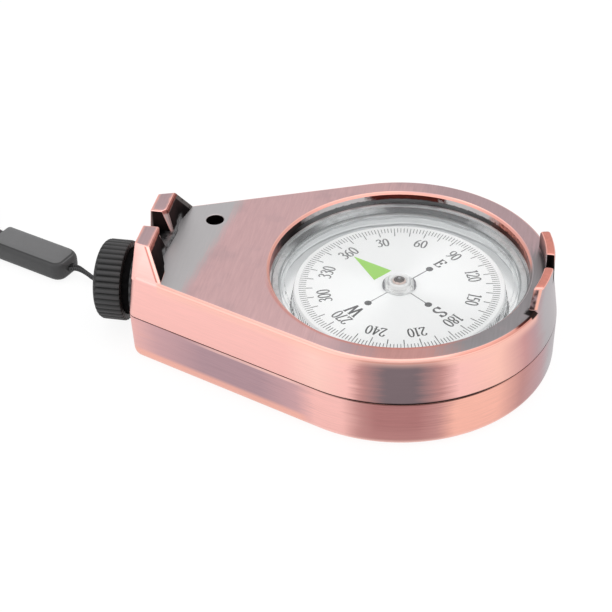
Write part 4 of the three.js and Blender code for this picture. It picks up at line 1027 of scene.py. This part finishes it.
capsule = {
    "steps": 144,
    "cup": [
        (0, 4), (24, 4), (24.2, 4.2), (24.2, 15.1), (25.8, 15.1), (25.8, 16.6), (24.4, 16.6),
        (24.4, 15.5), (22.8, 15.5), (22.8, 14.9), (22.6, 14.7), (22.8, 14.5), (22.8, 13.6),
        (22.6, 13.4), (22.8, 13.2), (22.8, 6.4), (21.8, 5.4), (0, 5.4),
    ],
    "window": [
        (0, 16.7), (21.7, 16.7), (21.7, 15.6), (21.8, 15.5), (22.4, 15.5), (22.5, 15.6),
        (22.5, 16.7), (24.3, 16.7), (24.3, 17.4), (24.1, 17.6), (0, 17.6),
    ],
}
cup = spun("capsule_wall", capsule["cup"], capsule["steps"])
finished(cup, "case", "clear_plastic", cupFinish(), "capsule_cup")
window = spun("window", capsule["window"], capsule["steps"])
finished(window, "case", "window_plastic", windowClear, "capsule_window")
print("compass: capsule done")


# Dial

def cardFinish():  # satin white with a painted sheen that changes round the dial; painted light: the skirt glows a little, standing in for the light in the capsule
    finish = Finish("card_satin")
    where, (x, y, _) = finish.place()
    _, _, nz = finish.facing()
    paintedSheen = (turnOf(x, y) * (math.pi / 90) + 0.6).sine()
    grain = finish.noise(where, 1.4)
    paint = finish.blend(tint(243), tint(255), paintedSheen.rise(-0.8, 0.8))
    glow = (finish.blend((0, 0, 0, 1), paint, nz.rise(0.7, 0.4)), 0.2)
    return finish.painted(paint, 0.45 + grain * 0.1, 0.0, grain, 0.004, glow=glow)


def printFinish(name, colour, near):
    finish = Finish(name)
    where, (x, y, _) = finish.place()
    worn = finish.noise(where, 5, 2, 0.6).rise(0.62, 0.9) * 0.25
    return finish.painted(finish.coats(colour, (near, (x * 0.4 - y).rise(-8, 20)), (tint(150), worn)))


dial = {
    "north": math.radians(141.5), "top": 14.5, "ink": 0.03, "steps": 180,
    "profile": [
        (2.6, 14), (19.5, 14), (20.9, 7.7), (21.4, 7.7), (20.15, 14.35), (20, 14.5), (2.6, 14.5), (2.6, 14),
    ],
    "ticks": ((17.8, 19.2, 0.06, 180), (16.55, 17.8, 0.08, 36)),  # from, to, half width, count
    "numbers": (2.55, 14.55, 0.92),  # height, distance out and share of the width
    "letters": {
        "E": (90, 2.5, 10.85, 0.95, 1.25), "S": (180, 3.0, 11.1, 1.05, 1.15),
        "W": (270, 3.0, 11.45, 1.0, 1.05),
    },
    "lines": {90: 0.1, 180: 0.07, 270: 0.07},  # half the width of each bearing's line
    "lineReach": (3.1, 7.4), "dotReach": 8, "dotRadius": 0.7, "arrow": (4.6, 12.85, 2.25),
}
inkTop = dial["top"] + dial["ink"]
ink = printFinish("ink_grey", tint(104, 104, 106), tint(34, 34, 36))
inkBlack = printFinish("ink_black", tint(84, 84, 86), tint(66, 66, 68))
greenInk = printFinish("ink_green", tint(154, 212, 88), tint(158, 216, 92))
card = spun("dial_card", dial["profile"], dial["steps"])
finished(card, "dial", "card_white", cardFinish(), "compass_card")


def spread(piece, count):  # copies turned round the dial's middle
    edit(piece)
    everything()
    bpy.ops.mesh.spin(
        steps=count - 1, dupli=True, angle=fullTurn * (count - 1) / count, center=(0, 0, 0), axis=up,
    )
    calm()
    return piece


def turnedTo(piece, angle):
    piece.rotation_euler = (0, 0, angle)
    return applied(piece)


def onDial(piece, look):
    finished(piece, "dial", "card_white", look)


def inked(name, start, end, half):  # a bar of print that points outwards
    return block(name, start, end, -half, half, dial["top"], inkTop)


ticks = [spread(inked("ticks", *spot), count) for *spot, count in dial["ticks"]]
onDial(turnedTo(joinedUp("dial_ticks", ticks), dial["north"]), ink)


def hoop(x, y, across, tall):  # a closed pen stroke
    turns = [k * fullTurn / 10 for k in range(11)]
    return [number for t in turns for number in (x + across * math.sin(t), y + tall * math.cos(t))]


# Each sign's width, then its pen strokes as x, y, x, y and so on, in hundredths of its height
penShapes = {
    "0": (56, hoop(28, 50, 20, 48)),
    "1": (42, (23, 0, 23, 100), (23, 98, 8, 86), (8, 2, 38, 2)),
    "2": (56, (8, 76, 13, 92, 27, 98, 42, 88, 44, 70, 30, 42, 7, 5), (7, 4, 48, 4), (6, 8, 46, 8),
          (47, 4, 52, 20)),
    "3": (54, (9, 82, 16, 94, 29, 97, 41, 84, 37, 64, 20, 54), (20, 54, 38, 47, 45, 28, 37, 8, 20, 2, 7, 12)),
    "4": (58, (37, 98, 4, 30), (4, 30, 53, 30), (37, 98, 37, 0), (24, 2, 50, 2)),
    "5": (54, (15, 95, 46, 95), (17, 91, 45, 91), (15, 95, 11, 54),
          (11, 54, 26, 60, 41, 50, 45, 30, 37, 8, 20, 2, 6, 10)),
    "6": (56, (46, 95, 27, 84, 13, 60, 8, 32, 14, 9, 28, 2, 42, 10, 47, 30, 40, 50, 27, 56, 13, 46, 9, 36)),
    "7": (54, (7, 95, 50, 95), (8, 91, 48, 91), (7, 95, 6, 78), (49, 93, 20, 0)),
    "8": (56, hoop(28, 75, 15, 22), hoop(28, 27, 19, 25)),
    "9": (56, (10, 5, 29, 16, 43, 40, 48, 68, 42, 91, 28, 98, 14, 90, 9, 70, 16, 50, 29, 44, 43, 54, 47, 64)),
    "E": (68, (16, 0, 16, 100), (3, 97, 60, 97), (60, 97, 62, 76), (16, 52, 46, 52), (46, 64, 46, 40),
          (3, 3, 62, 3), (62, 3, 66, 26)),
    "S": (60, (50, 80, 42, 94, 28, 98, 13, 88, 12, 70, 30, 54, 47, 40, 50, 20, 40, 6, 26, 2, 12, 10, 7, 24),
          (51, 98, 50, 72), (7, 2, 7, 30)),
    "W": (106, (12, 98, 33, 0), (33, 0, 54, 98), (52, 98, 74, 0), (74, 0, 93, 98), (0, 98, 25, 98),
          (42, 98, 64, 98), (82, 98, 104, 98)),
}
pen = {"thin": 0.028, "thick": 0.07, "flat": 0.12, "steps": 2}


def penned(text, weight, high, wide=1.0):  # a word in strokes that thicken where they run up or down
    start, lines = 0, []
    for sign in text:
        width, *strokes = penShapes[sign]
        for stroke in strokes:
            spots = [Vector((a / 100, b / 100, 0)) for a, b in zip(stroke[::2], stroke[1::2])]
            if len(spots) > 2:
                spots = easedPath(spots, pen["steps"])
            ways = [after - before for before, after in zip(spots[:1] + spots, spots[1:] + spots[-1:])]
            lines.append([
                (
                    spot + Vector((start, 0, 0)),
                    (pen["thin"] + (pen["thick"] - pen["thin"]) * abs(way.normalized().y)) * weight,
                )
                for spot, way in zip(spots, ways)
            ])
        start += width / 100
    word = swept("word", lines, 1, 0, "Z_UP")
    sizes = Matrix.Diagonal((high * wide * mm, high * mm, high * pen["flat"] * mm, 1))
    word.data.transform(sizes @ Matrix.Translation((-start / 2, -0.5, 0)))
    return word


def lettered(text, bearing, high, radius, wide, weight=1.0):
    turn = dial["north"] - math.radians(bearing)
    spot = Vector((radius * math.cos(turn), radius * math.sin(turn), dial["top"] + dial["ink"] / 2))
    word = penned(text, weight, high, wide)
    word.data.transform(Matrix.Translation(spot * mm) @ Matrix.Rotation(turn - math.pi / 2, 4, "Z"))
    return word


numbers = [lettered(str(bearing), bearing, *dial["numbers"]) for bearing in range(30, 361, 30)]
onDial(joinedUp("dial_numbers", numbers), ink)
letters = [lettered(sign, *how) for sign, how in dial["letters"].items()]
onDial(joinedUp("dial_letters", letters), inkBlack)

# The side scale, round the skirt, read from outside through the eyepiece
skirt = {
    "top": (20.15, 14.35), "foot": (21.4, 7.7), "digitHeight": 2.0, "digitLevel": 11, "weight": 2.0,
    "marks": ((0.06, 0.55, 13.4, 180), (0.09, 0.95, 13, 36)),  # half width, half height, level, count
}


def onSkirt(piece, bearing, height):
    turn = dial["north"] - math.radians(bearing)
    top, foot = Vector(skirt["top"]), Vector(skirt["foot"])
    rise = (top - foot).normalized()
    radius = foot.x + (top.x - foot.x) * (height - foot.y) / (top.y - foot.y)
    out = Vector((math.cos(turn), math.sin(turn), 0))
    onward = Vector((-math.sin(turn), math.cos(turn), 0))
    facing = Matrix((onward, out * rise.x + up * rise.y, out * rise.y - up * rise.x)).transposed().to_4x4()
    spot = out * (radius + dial["ink"] / 2) + up * height
    piece.data.transform(Matrix.Translation(spot * mm) @ facing)
    return piece


def sideScale():
    parts = []
    for bearing in range(0, 360, 10):
        word = penned(str((bearing + 180) % 360), skirt["weight"], skirt["digitHeight"])
        parts.append(onSkirt(word, bearing, skirt["digitLevel"]))
    deep = dial["ink"] / 2
    for half, tall, height, count in skirt["marks"]:
        mark = onSkirt(block("sideMark", -half, half, -tall, tall, -deep, deep), 0, height)
        parts.append(spread(mark, count))
    return joinedUp("side_scale", parts)


def pointerLines():
    parts = []
    for bearing, half in dial["lines"].items():
        line = inked("line", *dial["lineReach"], half)
        dot = post("dot", dial["dotRadius"], dial["top"], inkTop, dial["dotReach"], 0, 32)
        parts.append(turnedTo(joinedUp("pointer", [line, dot]), dial["north"] - math.radians(bearing)))
    return joinedUp("dial_lines", parts)


onDial(sideScale(), ink)
onDial(pointerLines(), ink)
arrow = inked("north_arrow", *dial["arrow"])
edit(arrow)
pick("VERT", lambda p, v: p.x > 10)
bpy.ops.transform.resize(value=(1, 0.02, 1), center_override=(0, 0, 0))
onDial(turnedTo(arrow, dial["north"]), greenInk)


def hubFinish():  # clear moulding with a milky middle; painted shade darkens its edges as seen from the front, and it glows a little as painted light
    finish = Finish("hub_clear")
    where, (x, y, z) = finish.place()
    reach = reachOf(x, y)
    haze = finish.noise(where, 0.9)
    # painted shade: the collar's edges darkened as seen from one fixed direction
    aside = (x * 0.98 + y * 0.19).size()
    outer = aside.rise(2.45, 2.9) * z.rise(14.55, 14.7)
    inner = aside.within(1.85, 2.2, 0.12) * z.rise(15.2, 15.4) * 0.6
    rings = reach.within(2.5, 2.7, 0.06).most(reach.within(3, 3.15, 0.05))
    dash = rings * aside.rise(0.8, 0.6) * y.rise(-1, -2) * 0.8
    edge = outer.most(inner).most(dash) * (haze + 0.5).least(1)
    paint = finish.blend(tint(252), tint(70, 70, 78), edge)
    milky = reach.rise(2.5, 2.1) * 0.3 + 0.2 + edge * 0.8
    body = finish.shader(paint, 0.08, glow=(paint, 0.15))
    return finish.glazed(finish.mixed(milky, finish.clear((0.95, 0.955, 0.955, 1)), body), 0.06, 0.04, 0.9)


def jewelFinish():  # dark cap, pale rim and a small painted highlight on top
    finish = Finish("jewel_dark")
    where, (x, y, z) = finish.place()
    reach = reachOf(x, y)
    flaw = finish.noise(where, 2.2)
    paint = finish.coats(
        tint(226, 220, 218),
        (tint(214, 192, 184), (z + flaw * 0.2).rise(15.7, 15.95)),
        (tint(66, 58, 57), (reach + flaw * 0.2).rise(1.22, 1.1) * z.rise(15.6, 15.8)),
        (tint(150, 150, 152), reach.rise(0.35, 0.2) * z.rise(16.2, 16.3)),
    )
    return finish.painted(paint, 0.08 + flaw * 0.05)


hub = {
    "steps": 64,
    "profile": [
        (1.6, 12.8), (2.3, 12.8), (2.3, 14.55), (3.2, 14.55), (3.3, 14.7), (3.2, 15.05), (2.8, 15.25),
        (2.35, 15.2), (2.25, 15.3), (2.2, 15.9), (2.05, 16.05), (1.75, 16.0), (1.6, 15.85), (1.6, 12.8),
    ],
}
collar = spun("hub_collar", hub["profile"], hub["steps"])
finished(collar, "dial", "clear_plastic", hubFinish(), "card_hub")
jewel = {
    "steps": 48, "radius": 1.3, "foot": 15.6, "top": 16.4, "arcSteps": 8,
    "seat": [(0, 15.6), (0.8, 13.1), (1.3, 13.1)],
}
turns = [k * math.pi / 2 / jewel["arcSteps"] for k in range(jewel["arcSteps"])]
domeRise = jewel["top"] - jewel["foot"]
arc = [(jewel["radius"] * math.cos(t), jewel["foot"] + domeRise * math.sin(t)) for t in turns]
dome = spun("jewel_dome", jewel["seat"] + arc + [(0, jewel["top"])], jewel["steps"])
finished(dome, "dial", "jewel", jewelFinish(), "jewel_bearing")
print("compass: dial done")


# Focusing ring

ring = {
    "ribs": 40, "dips": (0, 0.04, 0.2, 0.35, 0.2, 0.04), "radius": 8,  # each step's depth across a rib
    "profile": [
        (-59.3, 4.1), (-59.3, 6.9), (-59.1, 7.35), (-58.75, 7.75), (-58.2, 8), (-54.1, 8), (-53.7, 7.9),
        (-53.6, 7.6), (-53.6, 6.7), (-58.3, 6.7), (-58.3, 3.4), (-59, 3.4), (-59.3, 4.1),
    ],
}


def focusRing():
    perRib = len(ring["dips"])
    steps = ring["ribs"] * perRib
    piece = spun("focus_grip", ring["profile"], steps, True)
    edit(piece)

    def ribStep(p):
        return round(math.atan2(p.z - eyeHeight, p.y) / fullTurn * steps) % perRib

    for index, dip in enumerate(ring["dips"]):
        if dip:
            pick("VERT", lambda p, v: math.hypot(p.y, p.z - eyeHeight) > 7.3 and ribStep(p) == index)
            share = 1 - dip / ring["radius"]
            middle = up * eyeHeight * mm
            bpy.ops.transform.resize(value=(1, share, share), center_override=middle)
    calm()
    return piece


def gripFinish():
    finish = Finish("grip_black")
    where, (_, y, z) = finish.place()
    fromAxis = reachOf(y, z - eyeHeight)
    mottle = finish.noise(where, 1.1, 3, 0.6)
    # painted highlight along the rib crests
    paint = finish.coats(
        tint(12, 12, 13),
        (tint(60, 60, 61), (fromAxis + mottle * 0.1).rise(7.68, 8.08)),
        (tint(26, 26, 27), fromAxis.rise(7.6, 7.4)),
        (tint(14), fromAxis.rise(6.9, 6.75)),
    )
    grain = finish.noise(where, 6, 2, 0.6)
    return finish.painted(paint, 0.4 + mottle * 0.15, 0.0, grain, 0.01, 0.35)


finished(focusRing(), "focus_knob", "black_plastic", gripFinish(), "focus_ring", angle=50)


# Sleeve: a rounded bar whose nose is drawn in, turned to its heading

def bar(name, start, end, wide, high, corner, steps):  # along x, its long edges rounded
    return rounded(block(name, start, end, -wide, wide, -high, high), lengthwise, corner, steps)


def sleevePiece():
    s = sleeve
    piece = bar("lanyard_grip", -0.5, 0, s["width"] / 2, s["height"] / 2, *s["corner"])
    edit(piece)
    pick("FACE", lambda p, f: f.normal.x < -0.9)
    shift(0.5 + s["noseLength"] - s["length"], 0, 0)
    pick("FACE", lambda p, f: f.normal.x > 0.9)
    reached, share = 0, 1
    for k in range(1, s["noseSteps"] + 1):
        turn = k / s["noseSteps"] * math.pi / 2
        along, size = s["noseLength"] * math.sin(turn), s["tipShare"] + (1 - s["tipShare"]) * math.cos(turn)
        step = ((along - reached) * mm, 0, 0)
        bpy.ops.mesh.extrude_region_move(TRANSFORM_OT_translate={"value": step})
        bpy.ops.transform.resize(value=(1, size / share, size / share), center_override=(0, 0, 0))
        reached, share = along, size
    everything()
    shift(-s["noseLength"], 0, 0)
    clean()
    for name in ("throat", "chamber"):
        carve(piece, bar(name, *s[name]))
    back = 0.01 - s["length"]
    rounded(piece, lambda p, e: sharp(e, 0.9) and (p.x < back or p.x > -0.01), *s["endEdge"])
    piece.location = Vector((*s["nose"], s["height"] / 2)) * mm
    return turnedTo(piece, math.radians(s["heading"] + 180))


def sleeveFinish():
    finish = Finish("sleeve_satin")
    where, (_, _, z) = finish.place()
    _, _, nz = finish.facing()
    scuff = finish.noise(where, 0.5, 3, 0.6)
    grain = finish.noise(where, 5, 2, 0.6)
    # painted light: the top lighter than the sides
    paint = finish.blend(tint(56, 56, 57), tint(100, 100, 101), nz.rise(0.72, 0.86))
    line = z.within(4.42, 4.62, 0.04) * nz.rise(0.95, 0.9) * 0.85
    paint = finish.blend(finish.lit(paint, 0.92 + scuff * 0.16), tint(30, 30, 31), line)
    return finish.painted(paint, 0.46 + grain * 0.12, 0.0, grain, 0.015)


finished(sleevePiece(), "case", "sleeve_plastic", sleeveFinish(), "lanyard_sleeve", angle=40)
print("compass: focusing ring and sleeve done")


# Carried-over nodes get their finishes

nodeLooks = {
    "case_screw_1": steel, "case_screw_2": steel, "case_screw_3": steel, "index_plate": plateClear,
    "capsule_pad": rubber, "capsule_seal": sealFinish(), "pivot_post": brass, "pivot_pin": steel,
    "card_magnet_1": magnetGrey, "card_magnet_2": magnetGrey, "eyepiece_barrel": moulded,
    "lens_cell": moulded, "eyepiece_lens": lensClear, "lens_retainer": moulded, "cord_crimp": brass,
    "cord_tie": rubber,
}
for name, look in nodeLooks.items():
    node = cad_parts[name]
    node.data.materials.clear()
    node.data.materials.append(look)


# Floor, world and lamps

studio = {
    "floor": {"size": 4, "location": (0, 0, -0.00002)}, "floorGlow": 1.04, "floorShare": 0.86,
    "ambient": 0.68, "backdrop": 1.0,
}


def shown(finish):  # 1 for a ray that the camera sees, straight, by a gloss or through glass
    rays = finish.node("LightPath").socket.node.outputs
    eyeRay, glossRay, glassRay = (
        Wire(finish, rays[f"Is {kind} Ray"]) for kind in ("Camera", "Glossy", "Transmission")
    )
    return eyeRay.most(glossRay).most(glassRay)


def floorFinish():
    finish = Finish("floor_white")
    where, _ = finish.place()
    paper = finish.noise(where, 0.05)
    matt = finish.shader(finish.blend(tint(244), tint(247), paper.rise(0.4, 0.6)), 0.9)
    glow = finish.node("Emission", sockets={"Color": white, "Strength": studio["floorGlow"]})
    return finish.done(finish.mixed(shown(finish) * studio["floorShare"], matt, glow))


floor = added("floor", bpy.ops.mesh.primitive_plane_add, **studio["floor"])
floor.data.materials.append(floorFinish())

world = bpy.data.worlds.new("studio")
bpy.context.scene.world = world
sky = Finish("studio", world)
ambient, backdrop = (
    sky.node("Background", sockets={"Color": white, "Strength": studio[name]})
    for name in ("ambient", "backdrop")
)
sky.node("OutputWorld", sockets={"Surface": sky.mixed(shown(sky), ambient, backdrop)})

lamps = {
    "topBox": {"place": (0.05, -0.05, 0.7), "size": 0.9, "power": 2.3},
    "leftBox": {"place": (-0.6, -0.5, 0.45), "size": 0.6, "power": 0.9},
    "rightBox": {"place": (0.65, -0.35, 0.4), "size": 0.5, "power": 0.45},
}
for name, lamp in lamps.items():
    calm()
    bpy.ops.object.light_add(type="AREA", location=lamp["place"])
    light = bpy.context.object
    light.name = name
    light.data.size = lamp["size"]
    light.data.energy = lamp["power"]
    light.rotation_mode = "QUATERNION"
    light.rotation_quaternion = (-Vector(lamp["place"])).to_track_quat("-Z", "Y")
print("compass: stage and lamps set")
